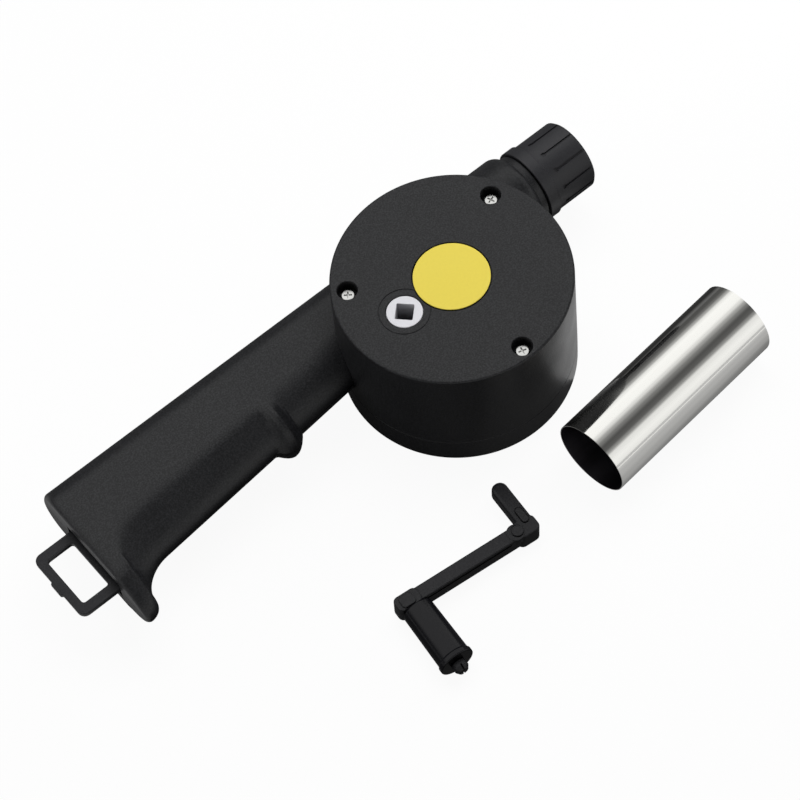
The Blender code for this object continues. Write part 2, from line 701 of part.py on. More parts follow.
def handle_section(reach, inset):
    # One closed section, from the far side over the top to the near side and back.
    half = 0.5 * HANDLE_THICKNESS - inset
    far = far_side(reach) - inset
    near = grip_side(reach) + inset
    crease = CREASE * clamp((reach - CREASE_START) / CREASE_RUN)
    power = 1.0 - STOP_SQUARENESS * stop_share(reach)
    upper = [(far - (FAR_ROUND - inset) * depth, half * height) for depth, height in quarter(0.0, 1.0)[::-1]]
    upper += [(near + (near_round(reach) - inset) * depth, half * height)
              for depth, height in quarter(crease, power)]
    lower = [(y, -z) for y, z in upper[-2:0:-1]]
    return [Vector((-reach, y, HANDLE_LEVEL + z)) for y, z in upper + lower]


def spread(start, end, count):
    return [start + (end - start) * i / (count - 1) for i in range(count)]


def handle_stations(last):
    # Close together at the finger stop and where the heel turns down.
    stop_start, stop_end = STOP_PLACE - STOP_HALF_WIDTH, STOP_PLACE + STOP_HALF_WIDTH
    places = spread(0.1 * DRUM_RADIUS, stop_start, 7) + spread(stop_start, stop_end, 9)[1:]
    places += [CREASE_START + CREASE_RUN] + spread(CREASE_START + CREASE_RUN, HEEL_START, 5)[1:]
    places += [HEEL_START + HEEL_RUN * math.sin(math.radians(11.25 * i)) for i in range(1, 9)]
    tip = HEEL_START + HEEL_RUN
    places += [tip + heel_tip_run() * (1.0 - math.cos(math.radians(22.5 * i))) for i in range(1, 5)]
    return [place for place in places if place < last - 0.4 * MM] + [last]


def loft(name, sections, part=None, look=None):
    bm = bmesh.new()
    rings = [[bm.verts.new(point) for point in section] for section in sections]
    count = len(rings[0])
    for first, second in zip(rings, rings[1:]):
        for i in range(count):
            j = (i + 1) % count
            bm.faces.new((first[i], first[j], second[j], second[i]))
    bm.faces.new(rings[0][::-1])
    bm.faces.new(rings[-1])
    bmesh.ops.recalc_face_normals(bm, faces=bm.faces[:])
    return from_bmesh(name, bm, part, look)


def handle_blank(name, part=None, look=None):
    # The whole handle as a shell with a closed, rounded end.
    body = handle_stations(HANDLE_LENGTH - HANDLE_END_EDGE)
    sections = [handle_section(reach, 0.0) for reach in body]
    for degrees in (30.0, 60.0, 90.0):
        turn = math.radians(degrees)
        inset = HANDLE_END_EDGE * (1.0 - math.cos(turn))
        reach = HANDLE_LENGTH - HANDLE_END_EDGE * (1.0 - math.sin(turn))
        sections.append(handle_section(reach, inset))
    return loft(name, sections, part, look)


def handle_hollow():
    pocket = LOOP_AXIS_DEPTH + LOOP_TAIL + POCKET_BACK_GAP
    last = HANDLE_LENGTH - pocket - HANDLE_WALL
    places = [0.05 * DRUM_RADIUS] + handle_stations(last)[2::2]
    return loft("handle_hollow", [handle_section(reach, HANDLE_WALL) for reach in places])


def loop_pocket():
    half = 0.5 * LOOP_WIDTH + SEAT_GAP
    back = LOOP_AXIS_X + LOOP_TAIL + POCKET_BACK_GAP
    bm = bmesh.new()
    add_box(bm, (-HANDLE_LENGTH - SLEEVE, LOOP_CENTRE - half, HANDLE_LEVEL - POCKET_HALF_HEIGHT),
            (back, LOOP_CENTRE + half, HANDLE_LEVEL + POCKET_HALF_HEIGHT))
    return from_bmesh("loop_pocket", bm)


def along_y(name, centre_x, radius, low, high, level, steps=20):
    lie = Matrix.Translation((centre_x, 0.5 * (low + high), level)) @ Matrix.Rotation(0.5 * math.pi, 4, "X")
    bm = bmesh.new()
    bmesh.ops.create_cone(bm, cap_ends=True, segments=steps, radius1=radius, radius2=radius,
                          depth=high - low, matrix=lie)
    return from_bmesh(name, bm)


def trunnion_seat():
    reach = 0.5 * LOOP_WIDTH + TRUNNION_LENGTH + SEAT_GAP
    return along_y("trunnion_seat", LOOP_AXIS_X, TRUNNION_RADIUS + SEAT_GAP, LOOP_CENTRE - reach,
                   LOOP_CENTRE + reach, HANDLE_LEVEL)


def half_space(name, above):
    # Everything on one side of the handle's parting plane.
    reach = 2 * HANDLE_LENGTH
    edge = HANDLE_LEVEL + (0.5 if above else -0.5) * SEAT_GAP
    low, high = (-reach, edge) if above else (edge, reach)
    return box(name, (-reach, -reach, low), (reach, reach, high))


def handle_screw_spots():
    return [(-reach, aside) for reach, aside in HANDLE_SCREWS]


def build_handle_back(hollow, pocket, seat):
    shell = handle_blank("handle_back_shell", BLOWER, BLACK_PLASTIC)
    cut(shell, hollow, half_space("front_half_space", False))
    drum = cylinders("drum_clearance", [((0.0, 0.0), BASE_RADIUS + SEAT_GAP, -SLEEVE, DRUM_HEIGHT)],
                     steps=DRUM_STEPS)
    bottom = handle_bottom()
    head_seat = bottom + HANDLE_WELL_DEPTH
    spots = handle_screw_spots()
    wells = cylinders("handle_wells", [(spot, HANDLE_BOSS_RADIUS, bottom + 0.5 * HANDLE_WALL,
                                        HANDLE_LEVEL - 2 * SEAT_GAP) for spot in spots])
    heads = cylinders("handle_head_holes", [(spot, HEAD_RADIUS + SEAT_GAP, bottom - SLEEVE, head_seat)
                                            for spot in spots])
    shanks = cylinders("handle_shank_holes", [(spot, SHANK_RADIUS + SEAT_GAP, head_seat - SLEEVE,
                                               HANDLE_LEVEL + SLEEVE) for spot in spots])
    cut(shell, drum)
    join(shell, wells)
    cut(shell, heads, shanks, pocket, seat)


# Drum, neck and the front half of the handle

def drum_profile():
    top = [(0.0, DRUM_HEIGHT), (DRUM_RADIUS - TOP_EDGE, DRUM_HEIGHT)]
    rim = arc((DRUM_RADIUS - TOP_EDGE, DRUM_HEIGHT - TOP_EDGE), TOP_EDGE, 60.0, 0.0, 3)
    foot = COVER_HEIGHT + SEAT_GAP
    return top + rim + [(BASE_RADIUS, foot), (0.0, foot)]


def lie_along_x(level, aside):
    # Turns a shape's own +Z to the frame's +X, at the outlet's axis.
    return Matrix.Translation((0.0, aside, level)) @ Matrix.Rotation(0.5 * math.pi, 4, "Y")


def neck_profile():
    shoulder = arc((SHOULDER_RADIUS - SHOULDER_ROUND, SHOULDER_END), SHOULDER_ROUND, 0.0, 60.0, 5)
    spigot_end = NECK_END + SPIGOT_LENGTH
    start = 0.3 * DRUM_RADIUS
    end = [(NECK_RADIUS, NECK_END), (SPIGOT_RADIUS, NECK_END), (SPIGOT_RADIUS, spigot_end),
           (0.0, spigot_end)]
    climb = [(0.0, start), (SHOULDER_RADIUS, start)] + shoulder + end
    return climb[::-1]


def housing_bosses():
    # What stands down from the drum's inner top and from the handle's inner top.
    root = INNER_TOP + 0.5 * TOP_PLATE
    cups = [(bolt_place(angle), RECESS_RADIUS + RECESS_WALL, RECESS_BOTTOM, root) for angle in BOLT_ANGLES]
    bosses = [(post, PLATE_POST_RADIUS, PLATE_TOP + SEAT_GAP, root) for post in PLATE_POSTS]
    bosses.append(((0.0, 0.0), FRONT_BUSH_RADIUS + FRONT_BOSS_WALL, INNER_TOP - FRONT_BUSH_HEIGHT, root))
    bosses.append((WHEEL_AXIS, PIN_BOSS_RADIUS, UPPER_GEARS_TOP + 2 * SEAT_GAP, root))
    handle_root = HANDLE_LEVEL + 0.5 * (HANDLE_THICKNESS - HANDLE_WALL)
    in_handle = [(spot, HANDLE_BOSS_RADIUS, HANDLE_LEVEL + SEAT_GAP, handle_root)
                 for spot in handle_screw_spots()]
    return (cylinders("screw_cups", cups), cylinders("front_bosses", bosses),
            cylinders("handle_bosses", in_handle))


def housing_holes():
    above = DRUM_HEIGHT + SLEEVE
    holes = [(bolt_place(angle), RECESS_RADIUS, SCREW_SEAT, above) for angle in BOLT_ANGLES]
    holes.append((DRIVE_AXIS, HUB_RADIUS + SEAT_GAP, INNER_TOP - SLEEVE, above))
    holes.append(((0.0, 0.0), FRONT_BUSH_RADIUS + SEAT_GAP, 0.5 * DRUM_HEIGHT, INNER_TOP))
    holes.append((WHEEL_AXIS, PIN_RADIUS + SEAT_GAP, UPPER_GEARS, INNER_TOP))
    plate_tip = PLATE_LEVEL + PLATE_SCREW_LENGTH + SLEEVE
    holes += [(post, SMALL_SHANK_RADIUS + SEAT_GAP, PLATE_TOP, plate_tip) for post in PLATE_POSTS]
    handle_tip = handle_bottom() + HANDLE_WELL_DEPTH + HANDLE_SCREW_LENGTH + SLEEVE
    holes += [(spot, SHANK_RADIUS + SEAT_GAP, HANDLE_LEVEL - SLEEVE, handle_tip)
              for spot in handle_screw_spots()]
    shanks = [(bolt_place(angle), SHANK_RADIUS + SEAT_GAP, RECESS_BOTTOM - SLEEVE, SCREW_SEAT + SLEEVE)
              for angle in BOLT_ANGLES]
    label_seat = [((0.0, 0.0), LABEL_RADIUS + SEAT_GAP, DRUM_HEIGHT - LABEL_RECESS, above)]
    return (cylinders("front_holes", holes), cylinders("cover_shank_holes", shanks),
            cylinders("label_seat", label_seat, steps=LABEL_STEPS))


def build_front_housing(hollow, pocket, seat):
    housing = turned("front_housing", drum_profile(), DRUM_STEPS, part=BLOWER, look=BLACK_PLASTIC)
    handle = handle_blank("handle_front_half")
    cut(handle, hollow, half_space("back_half_space", True))
    outlet = lie_along_x(OUTLET_LEVEL, OUTLET_Y)
    neck = turned("outlet_neck", neck_profile(), OUTLET_STEPS, matrix=outlet)
    chamber = turned("drum_chamber", [(0.0, INNER_TOP), (INNER_RADIUS, INNER_TOP),
                                      (INNER_RADIUS, -SLEEVE), (0.0, -SLEEVE)], DRUM_STEPS)
    cover_room = [((0.0, 0.0), BASE_RADIUS + SEAT_GAP, -SLEEVE, COVER_HEIGHT + SEAT_GAP)]
    join(housing, handle, neck)
    cut(housing, chamber, cylinders("cover_clearance", cover_room, steps=DRUM_STEPS))
    join(housing, *housing_bosses())
    bore_start, bore_end = 0.3 * DRUM_RADIUS, NECK_END + SPIGOT_LENGTH + SLEEVE
    bore = turned("outlet_bore", [(0.0, bore_end), (OUTLET_BORE, bore_end), (OUTLET_BORE, bore_start),
                                  (0.0, bore_start)], OUTLET_STEPS, matrix=outlet)
    cut(housing, *housing_holes(), bore, pocket, seat)


def build_back_cover():
    lip_outer = INNER_RADIUS - SEAT_GAP
    lip_inner = lip_outer - LIP_WALL
    edge = arc((BASE_RADIUS - COVER_EDGE, COVER_EDGE), COVER_EDGE, 0.0, -90.0, 4)
    lip_top = COVER_HEIGHT + LIP_HEIGHT
    profile = [(0.0, COVER_PLATE), (lip_inner, COVER_PLATE), (lip_inner, lip_top),
               (lip_outer, lip_top), (lip_outer, COVER_HEIGHT), (BASE_RADIUS, COVER_HEIGHT)]
    cover = turned("back_cover", profile + edge + [(0.0, 0.0)], DRUM_STEPS, part=BLOWER, look=BLACK_PLASTIC)
    sunk = 0.5 * COVER_PLATE
    posts = [(bolt_place(angle), POST_RADIUS, sunk, RECESS_BOTTOM - SEAT_GAP) for angle in BOLT_ANGLES]
    posts.append(((0.0, 0.0), BUSH_RADIUS + BUSH_BOSS_WALL, sunk, BUSH_TOP))
    join(cover, cylinders("cover_posts", posts))
    slots = [slot_outline(SLOT_INNER, SLOT_OUTER, SLOT_WIDTH, 360.0 * i / SLOT_COUNT)
             for i in range(SLOT_COUNT)]
    thread = SCREW_SEAT + SEAT_GAP - COVER_SCREW_LENGTH - SLEEVE
    holes = [(bolt_place(angle), SHANK_RADIUS + SEAT_GAP, thread, RECESS_BOTTOM + SLEEVE)
             for angle in BOLT_ANGLES]
    holes.append(((0.0, 0.0), BUSH_RADIUS + SEAT_GAP, COVER_PLATE, BUSH_TOP + SLEEVE))
    cut(cover, flat("intake_slots", slots, -SLEEVE, COVER_PLATE + SLEEVE), cylinders("cover_holes", holes))


def build_collar():
    start = NECK_END + SEAT_GAP
    flange = start + COLLAR_FLANGE_LENGTH
    end = start + COLLAR_LENGTH
    spigot_end = NECK_END + SPIGOT_LENGTH + SEAT_GAP
    fit = SPIGOT_RADIUS + SEAT_GAP
    profile = [(OUTLET_BORE, end), (COLLAR_RADIUS - COLLAR_LIP, end), (COLLAR_RADIUS, end - COLLAR_LIP),
               (COLLAR_RADIUS, flange + COLLAR_STEP), (COLLAR_FLANGE_RADIUS, flange),
               (COLLAR_FLANGE_RADIUS, start), (fit, start), (fit, spigot_end), (OUTLET_BORE, spigot_end)]
    lie = lie_along_x(OUTLET_LEVEL, OUTLET_Y)
    collar = turned("nozzle_collar", profile, OUTLET_STEPS, closed=True, part=BLOWER,
                    look=COLLAR_PLASTIC, matrix=lie)
    bm = bmesh.new()
    for number in range(GROOVE_COUNT):
        turn = Matrix.Rotation(GROOVE_PHASE + 2 * math.pi * number / GROOVE_COUNT, 4, "Z")
        groove = bmesh.ops.create_cube(bm, size=1.0)["verts"]
        length = end + SLEEVE - flange - COLLAR_BAND
        middle = Matrix.Translation((COLLAR_RADIUS, 0.0, end + SLEEVE - 0.5 * length))
        shape = Matrix.Diagonal((2 * GROOVE_DEPTH, GROOVE_WIDTH, length, 1.0))
        bmesh.ops.transform(bm, matrix=turn @ middle @ shape, verts=groove)
    grooves = from_bmesh("collar_grooves", bm)
    grooves.matrix_world = lie
    cut(collar, grooves)


def build_label():
    bottom = DRUM_HEIGHT - LABEL_RECESS + SEAT_GAP
    top = bottom + LABEL_THICKNESS
    profile = [(0.0, top), (LABEL_RADIUS, top), (LABEL_RADIUS, bottom), (0.0, bottom)]
    turned("label_disc", profile, LABEL_STEPS, part=BLOWER, look=YELLOW_LABEL)


def build_hanging_loop():
    outer_x = -HANDLE_LENGTH - LOOP_REACH
    root_x = LOOP_AXIS_X + LOOP_TAIL
    half = 0.5 * LOOP_WIDTH
    outline = rounded_box_outline((outer_x, LOOP_CENTRE - half), (root_x, LOOP_CENTRE + half), LOOP_CORNER)
    half_tab = 0.5 * LOOP_TAB_LENGTH
    tab_x = outer_x - LOOP_TAB_HEIGHT
    tab = [(outer_x, LOOP_CENTRE + half_tab), (tab_x, LOOP_CENTRE + half_tab - LOOP_TAB_HEIGHT),
           (tab_x, LOOP_CENTRE - half_tab + LOOP_TAB_HEIGHT), (outer_x, LOOP_CENTRE - half_tab)]
    middle = len(outline) // 2
    outline = outline[:middle] + tab + outline[middle:]
    low = (outer_x + LOOP_BAR, LOOP_CENTRE - half + LOOP_SIDE)
    high = (-HANDLE_LENGTH - LOOP_ROOT, LOOP_CENTRE + half - LOOP_SIDE)
    window = rounded_box_outline(low, high, 0.4 * LOOP_CORNER)
    level = 0.5 * LOOP_THICKNESS
    loop = flat("hanging_loop", [outline, window], HANDLE_LEVEL - level, HANDLE_LEVEL + level,
                BLOWER, BLACK_PLASTIC)
    reach = half + TRUNNION_LENGTH
    join(loop, along_y("loop_trunnions", LOOP_AXIS_X, TRUNNION_RADIUS, LOOP_CENTRE - reach,
                       LOOP_CENTRE + reach, HANDLE_LEVEL))


def build_tube():
    half = 0.5 * TUBE_LENGTH
    inner = TUBE_RADIUS - TUBE_WALL
    profile = [(inner, half), (TUBE_RADIUS, half), (TUBE_RADIUS, -half), (inner, -half)]
    lie = Matrix.Translation((*TUBE_CENTRE, TUBE_RADIUS)) @ Matrix.Rotation(TUBE_TURN, 4, "Z")
    lie = lie @ Matrix.Rotation(0.5 * math.pi, 4, "Y")
    turned("outlet_tube", profile, TUBE_STEPS, closed=True, part=BLOWER, look=STEEL_TUBE, matrix=lie)


# Crank

def crank_tilt():
    # The crank rests on its grip's flange and on the drive elbow's lower edge.
    below = ELBOW_HEIGHT - 0.5 * STUB_WIDTH
    reach = ARM_LENGTH + ELBOW_HALF
    return math.asin(GRIP_FLANGE_RADIUS / math.hypot(below, reach)) - math.atan2(below, reach)


def crank_matrix():
    # Own frame: +X from the drive elbow to the grip's axis, +Y along the grip.
    place = Matrix.Translation((CRANK_PLACE[0], CRANK_PLACE[1], GRIP_FLANGE_RADIUS))
    turn = Matrix.Rotation(CRANK_TURN, 4, "Z")
    to_grip = Matrix.Translation((ARM_LENGTH, 0.0, 0.0))
    tilt = Matrix.Rotation(-crank_tilt(), 4, "Y")
    return place @ turn @ to_grip @ tilt @ Matrix.Translation((-ARM_LENGTH, 0.0, 0.0))


def build_crank():
    # The stub, the drive elbow and the arm share one level top face.
    half = 0.5 * ARM_WIDTH
    top = 0.5 * STUB_WIDTH
    raised = top + RAISED
    end = ARM_LENGTH + KNUCKLE_FRONT
    arm_outline = rounded_box_outline((-half, -half), (ARM_LENGTH, half), ARM_CORNER)
    arm = flat("crank_arm", [arm_outline], top - ARM_HEIGHT, top, BLOWER, CRANK_PLASTIC)
    elbow_outline = rounded_box_outline((-ELBOW_HALF, -ELBOW_HALF), (ELBOW_RUN, ELBOW_HALF), ELBOW_CORNER)
    elbow = flat("crank_elbow", [elbow_outline], top - ELBOW_HEIGHT, top)
    knuckle_outline = rounded_box_outline((ARM_LENGTH - KNUCKLE_BACK, -KNUCKLE_SIDE),
                                          (end, KNUCKLE_SIDE), KNUCKLE_CORNER)
    knuckle = flat("crank_knuckle", [knuckle_outline], raised - ELBOW_HEIGHT, raised)
    pad_outline = rounded_box_outline((ARM_LENGTH - 0.9 * KNUCKLE_BACK, -0.75 * KNUCKLE_SIDE),
                                      (end - 0.25 * KNUCKLE_FRONT, 0.75 * KNUCKLE_SIDE), PAD_CORNER)
    pad = flat("crank_pad", [pad_outline], 0.0, raised + RAISED)
    stub_outline = rounded_box_outline((-top, -STUB_LENGTH), (top, 0.0), STUB_TIP)
    stub = flat("crank_stub", [stub_outline], -top, top)
    border = (ELBOW_RUN, 0.0)
    boss = flat("crank_boss", [circle(border, ELBOW_HALF - BOSS_INSET)], 0.0, top + 0.4 * RAISED)
    dot = flat("crank_dot", [circle(border, ELBOW_DOT)], 0.0, raised + 0.4 * RAISED)
    oval = flat("crank_oval", [slot_outline(*OVAL, -90.0)], 0.0, raised)
    join(arm, elbow, knuckle, pad, stub, boss, dot, oval)
    groove_high = top - ARM_FLANGE
    groove_low = groove_high - ARM_GROOVE
    bm = bmesh.new()
    for side in (-1.0, 1.0):
        inner, outer = side * (half - ARM_GROOVE), side * (half + SLEEVE)
        add_box(bm, (ELBOW_RUN + ELBOW_HALF, min(inner, outer), groove_low),
                (ARM_LENGTH - KNUCKLE_BACK - SLEEVE, max(inner, outer), groove_high))
    grooves = from_bmesh("crank_grooves", bm)
    eye = along_y("crank_eye", ARM_LENGTH, GRIP_PIN_RADIUS + SEAT_GAP, EYE_FLOOR - KNUCKLE_SIDE,
                  KNUCKLE_SIDE + SLEEVE, 0.0)
    cut(arm, grooves, eye)
    matrix = crank_matrix()
    for obj in (arm, elbow, knuckle, pad, stub, boss, dot, oval, grooves, eye):
        obj.matrix_world = matrix @ obj.matrix_world
    build_grip(matrix @ Matrix.Translation((ARM_LENGTH, 0.0, 0.0)) @ Matrix.Rotation(-0.5 * math.pi, 4, "X"))


def build_grip(matrix):
    # Turned shapes whose own +Z runs out along the grip from the grip elbow.
    start = KNUCKLE_SIDE + SEAT_GAP
    end = start + GRIP_LENGTH
    bore = GRIP_PIN_RADIUS + SEAT_GAP
    profile = [(bore, end), (GRIP_FLANGE_RADIUS - GRIP_EDGE, end), (GRIP_FLANGE_RADIUS, end - GRIP_EDGE),
               (GRIP_FLANGE_RADIUS, end - GRIP_FLANGE), (GRIP_END_RADIUS, end - GRIP_FLANGE - GRIP_EDGE),
               (GRIP_RADIUS, start + GRIP_EDGE), (GRIP_RADIUS - GRIP_EDGE, start), (bore, start)]
    turned("crank_grip", profile, GRIP_STEPS, closed=True, part=BLOWER, look=GRIP_PLASTIC, matrix=matrix)
    head = end + SEAT_GAP
    head_end = head + GRIP_HEAD_LENGTH
    pin_start = EYE_FLOOR - KNUCKLE_SIDE + SEAT_GAP
    pin = [(0.0, head_end), (0.55 * GRIP_HEAD_RADIUS, head_end - GRIP_HEAD_CROWN),
           (GRIP_HEAD_RADIUS, head_end - GRIP_HEAD_TAPER), (GRIP_HEAD_RADIUS, head),
           (GRIP_PIN_RADIUS, head), (GRIP_PIN_RADIUS, pin_start), (0.0, pin_start)]
    turned("grip_pin", pin, 24, part=BLOWER, look=CRANK_PLASTIC, matrix=matrix)


# Joint axes

def hang_on_axis(name, matrix, pieces):
    # An empty on the joint's axis carries the pieces that move about it.
    axis = bpy.data.objects.new(name, None)
    axis.empty_display_size = 10 * MM
    axis.matrix_world = matrix
    BLOWER.objects.link(axis)
    for piece in pieces:
        obj = BLOWER.objects[piece]
        obj.parent = axis
        obj.matrix_parent_inverse = matrix.inverted()
    return axis


def add_joint_axes():
    for name, spot, pieces in (
            ("drive_axis", (*DRIVE_AXIS, UPPER_GEARS), ["drive_gear"]),
            ("intermediate_axis", (*WHEEL_AXIS, LOWER_GEARS), ["intermediate_gear"]),
            ("impeller_axis", (0.0, 0.0, LOWER_GEARS), ["impeller", "impeller_shaft", "impeller_pinion"]),
            ("loop_axis", (LOOP_AXIS_X, LOOP_CENTRE, HANDLE_LEVEL), ["hanging_loop"]),
            ("tube_place", (*TUBE_CENTRE, TUBE_RADIUS), ["outlet_tube"])):
        hang_on_axis(name, Matrix.Translation(spot), pieces)
    at_elbow = crank_matrix()
    crank = hang_on_axis("crank_place", at_elbow, ["crank_arm", "grip_pin"])
    grip = hang_on_axis("grip_axis", at_elbow @ Matrix.Translation((ARM_LENGTH, 0.0, 0.0)), ["crank_grip"])
    grip.parent = crank
    grip.matrix_parent_inverse = crank.matrix_world.inverted()


hollow = handle_hollow()
pocket = loop_pocket()
seat = trunnion_seat()
build_front_housing(hollow, pocket, seat)
build_back_cover()
build_handle_back(hollow, pocket, seat)
build_collar()
build_gear_plate()
build_label()
build_screws()
build_shafts()
build_impeller()
build_impeller_pinion()
build_intermediate_gear()
build_drive_gear()
build_hanging_loop()
build_tube()
build_crank()
add_joint_axes()
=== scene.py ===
import json
import math

import bmesh
import bpy
from mathutils import Matrix, Vector

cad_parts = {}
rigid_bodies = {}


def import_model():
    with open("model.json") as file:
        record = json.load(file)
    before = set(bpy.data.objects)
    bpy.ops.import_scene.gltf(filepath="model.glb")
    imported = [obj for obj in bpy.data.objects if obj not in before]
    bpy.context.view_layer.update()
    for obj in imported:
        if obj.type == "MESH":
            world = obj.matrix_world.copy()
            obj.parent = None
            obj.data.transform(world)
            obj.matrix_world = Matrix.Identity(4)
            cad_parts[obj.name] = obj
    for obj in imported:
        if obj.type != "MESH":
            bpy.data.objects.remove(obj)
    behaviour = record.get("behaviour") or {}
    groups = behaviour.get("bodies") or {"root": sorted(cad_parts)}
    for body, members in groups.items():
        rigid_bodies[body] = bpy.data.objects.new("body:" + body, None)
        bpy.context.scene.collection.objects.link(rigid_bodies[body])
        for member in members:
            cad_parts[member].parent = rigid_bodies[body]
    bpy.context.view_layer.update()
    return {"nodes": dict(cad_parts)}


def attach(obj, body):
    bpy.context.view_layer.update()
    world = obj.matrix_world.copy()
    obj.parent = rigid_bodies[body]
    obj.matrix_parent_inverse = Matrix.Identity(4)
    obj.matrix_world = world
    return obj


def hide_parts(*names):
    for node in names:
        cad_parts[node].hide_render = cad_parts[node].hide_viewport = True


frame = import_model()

# Hand cranked barbecue blower with its steel tube and its crank lying beside it.
# Sizes are in millimetres and become metres where a mesh is made.
mm = 0.001

helpers = bpy.data.collections.new("helpers")  # cutters, emptied again after use
bpy.context.scene.collection.children.link(helpers)


# Outlines and meshes

def roundCorners(corners, closed=False, segments=6):
    # Rounds each (x, y, radius) corner of a path with an arc.
    points = []
    count = len(corners)
    for i, (x, y, radius) in enumerate(corners):
        here = Vector((x, y))
        if radius <= 0 or (not closed and i in (0, count - 1)):
            points.append(here)
            continue
        before = (Vector(corners[i - 1][:2]) - here).normalized()
        after = (Vector(corners[(i + 1) % count][:2]) - here).normalized()
        half = 0.5 * before.angle(after)
        centre = here + (before + after).normalized() * (radius / math.sin(half))
        first = here + before * (radius / math.tan(half)) - centre
        turn = first.angle_signed(here + after * (radius / math.tan(half)) - centre)
        for step in range(segments + 1):
            points.append(centre + Matrix.Rotation(-turn * step / segments, 2) @ first)
    return [(p.x, p.y) for p in points]


def circlePoints(x, y, radius, count=48):
    turns = [2 * math.pi * i / count for i in range(count)]
    return [(x + radius * math.cos(turn), y + radius * math.sin(turn)) for turn in turns]


def rectangle(lowX, lowY, highX, highY, radius, segments=6):
    corners = [(highX, highY, radius), (lowX, highY, radius), (lowX, lowY, radius), (highX, lowY, radius)]
    return roundCorners(corners, closed=True, segments=segments)


def tidyMesh(bm, matrix=None):
    bmesh.ops.remove_doubles(bm, verts=bm.verts[:], dist=0.001 * mm)
    bmesh.ops.recalc_face_normals(bm, faces=bm.faces[:])
    if matrix is not None:
        bm.transform(matrix)
    return bm


def spun(profile, steps, closed=False, matrix=None):
    # Turns (radius, height) points a full circle about Z.
    bm = bmesh.new()
    verts = [bm.verts.new((radius * mm, 0.0, height * mm)) for radius, height in profile]
    edges = [bm.edges.new(pair) for pair in zip(verts, verts[1:])]
    if closed:
        edges.append(bm.edges.new((verts[-1], verts[0])))
    bmesh.ops.spin(bm, geom=verts + edges, cent=(0, 0, 0), axis=(0, 0, 1), dvec=(0, 0, 0),
                   angle=2 * math.pi, steps=steps, use_merge=True)
    return tidyMesh(bm, matrix)


def slab(outline, bottom, top, edge=0.0, segments=3, matrix=None):
    # A flat outline as a plate, with its rims rounded.
    bm = bmesh.new()
    face = bm.faces.new([bm.verts.new((x * mm, y * mm, bottom * mm)) for x, y in outline])
    raised = bmesh.ops.extrude_face_region(bm, geom=[face])["geom"]
    bmesh.ops.translate(bm, vec=(0, 0, (top - bottom) * mm),
                        verts=[v for v in raised if isinstance(v, bmesh.types.BMVert)])
    bmesh.ops.recalc_face_normals(bm, faces=bm.faces[:])
    if edge > 0:
        rims = [e for e in bm.edges if abs(e.verts[0].co.z - e.verts[1].co.z) < 0.01 * mm]
        bmesh.ops.bevel(bm, geom=rims, offset=edge * mm, offset_type="OFFSET", segments=segments,
                        profile=0.5, affect="EDGES", clamp_overlap=True, material=-1)
    return tidyMesh(bm, matrix)


def pegs(rows, steps=48):
    # Upright cylinders from (x, y, radius, bottom, top) rows.
    bm = bmesh.new()
    for x, y, radius, bottom, top in rows:
        middle = Matrix.Translation((x * mm, y * mm, 0.5 * (bottom + top) * mm))
        bmesh.ops.create_cone(bm, cap_ends=True, segments=steps, radius1=radius * mm, radius2=radius * mm,
                              depth=(top - bottom) * mm, matrix=middle)
    return bm


def block(low, high):
    bm = bmesh.new()
    size = [(b - a) * mm for a, b in zip(low, high)]
    middle = [0.5 * (a + b) * mm for a, b in zip(low, high)]
    bmesh.ops.create_cube(bm, size=1.0, matrix=Matrix.Translation(middle) @ Matrix.Diagonal((*size, 1.0)))
    return bm


def layer(low, high):
    # All there is between two heights.
    return block((-300.0, -200.0, low), (100.0, 200.0, high))


def merged(*meshes):
    # Puts several separate meshes into one.
    whole = bmesh.new()
    for bm in meshes:
        part = bpy.data.meshes.new("part")
        bm.to_mesh(part)
        bm.free()
        whole.from_mesh(part)
        bpy.data.meshes.remove(part)
    return whole


def helperObject(name, bm):
    mesh = bpy.data.meshes.new(name)
    bm.to_mesh(mesh)
    bm.free()
    obj = bpy.data.objects.new(name, mesh)
    helpers.objects.link(obj)
    return obj


def shaped(start, steps):
    # Applies (operation, mesh) Boolean steps to a mesh in turn and returns the result.
    obj = helperObject("shape", start)
    for number, (operation, bm) in enumerate(steps):
        tool = helperObject("tool", bm)
        step = obj.modifiers.new(f"step_{number}", "BOOLEAN")
        step.operation = operation
        step.solver = "EXACT"
        step.object = tool
    bpy.context.view_layer.update()
    mesh = bpy.data.meshes.new_from_object(obj.evaluated_get(bpy.context.evaluated_depsgraph_get()))
    bm = bmesh.new()
    bm.from_mesh(mesh)
    bpy.data.meshes.remove(mesh)
    for helper in list(helpers.objects):
        used = helper.data
        bpy.data.objects.remove(helper)
        bpy.data.meshes.remove(used)
    bmesh.ops.remove_doubles(bm, verts=bm.verts[:], dist=0.0005 * mm)
    bmesh.ops.dissolve_degenerate(bm, edges=bm.edges[:], dist=0.0002 * mm)
    scraps = [face for face in bm.faces if all(edge.is_boundary for edge in face.edges)]  # cut off slivers
    bmesh.ops.delete(bm, geom=scraps, context="FACES")
    bmesh.ops.holes_fill(bm, edges=[edge for edge in bm.edges if edge.is_boundary], sides=0)
    return bm


def addPiece(name, bm, body, material, stands=(), sharp=32.0):
    # Makes the finished object and ties it to the frame.
    mesh = bpy.data.meshes.new(name)
    bm.to_mesh(mesh)
    bm.free()
    obj = bpy.data.objects.new(name, mesh)
    bpy.context.scene.collection.objects.link(obj)
    mesh.materials.append(material)
    mesh.shade_smooth()
    mesh.set_sharp_from_angle(angle=math.radians(sharp))
    obj.modifiers.new("even_shading", "WEIGHTED_NORMAL").keep_sharp = True  # keeps flat faces flat
    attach(obj, body)
    if stands:
        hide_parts(*stands)
    print(f"made {name}: {len(mesh.polygons)} faces")
    return obj


# Shader node helpers

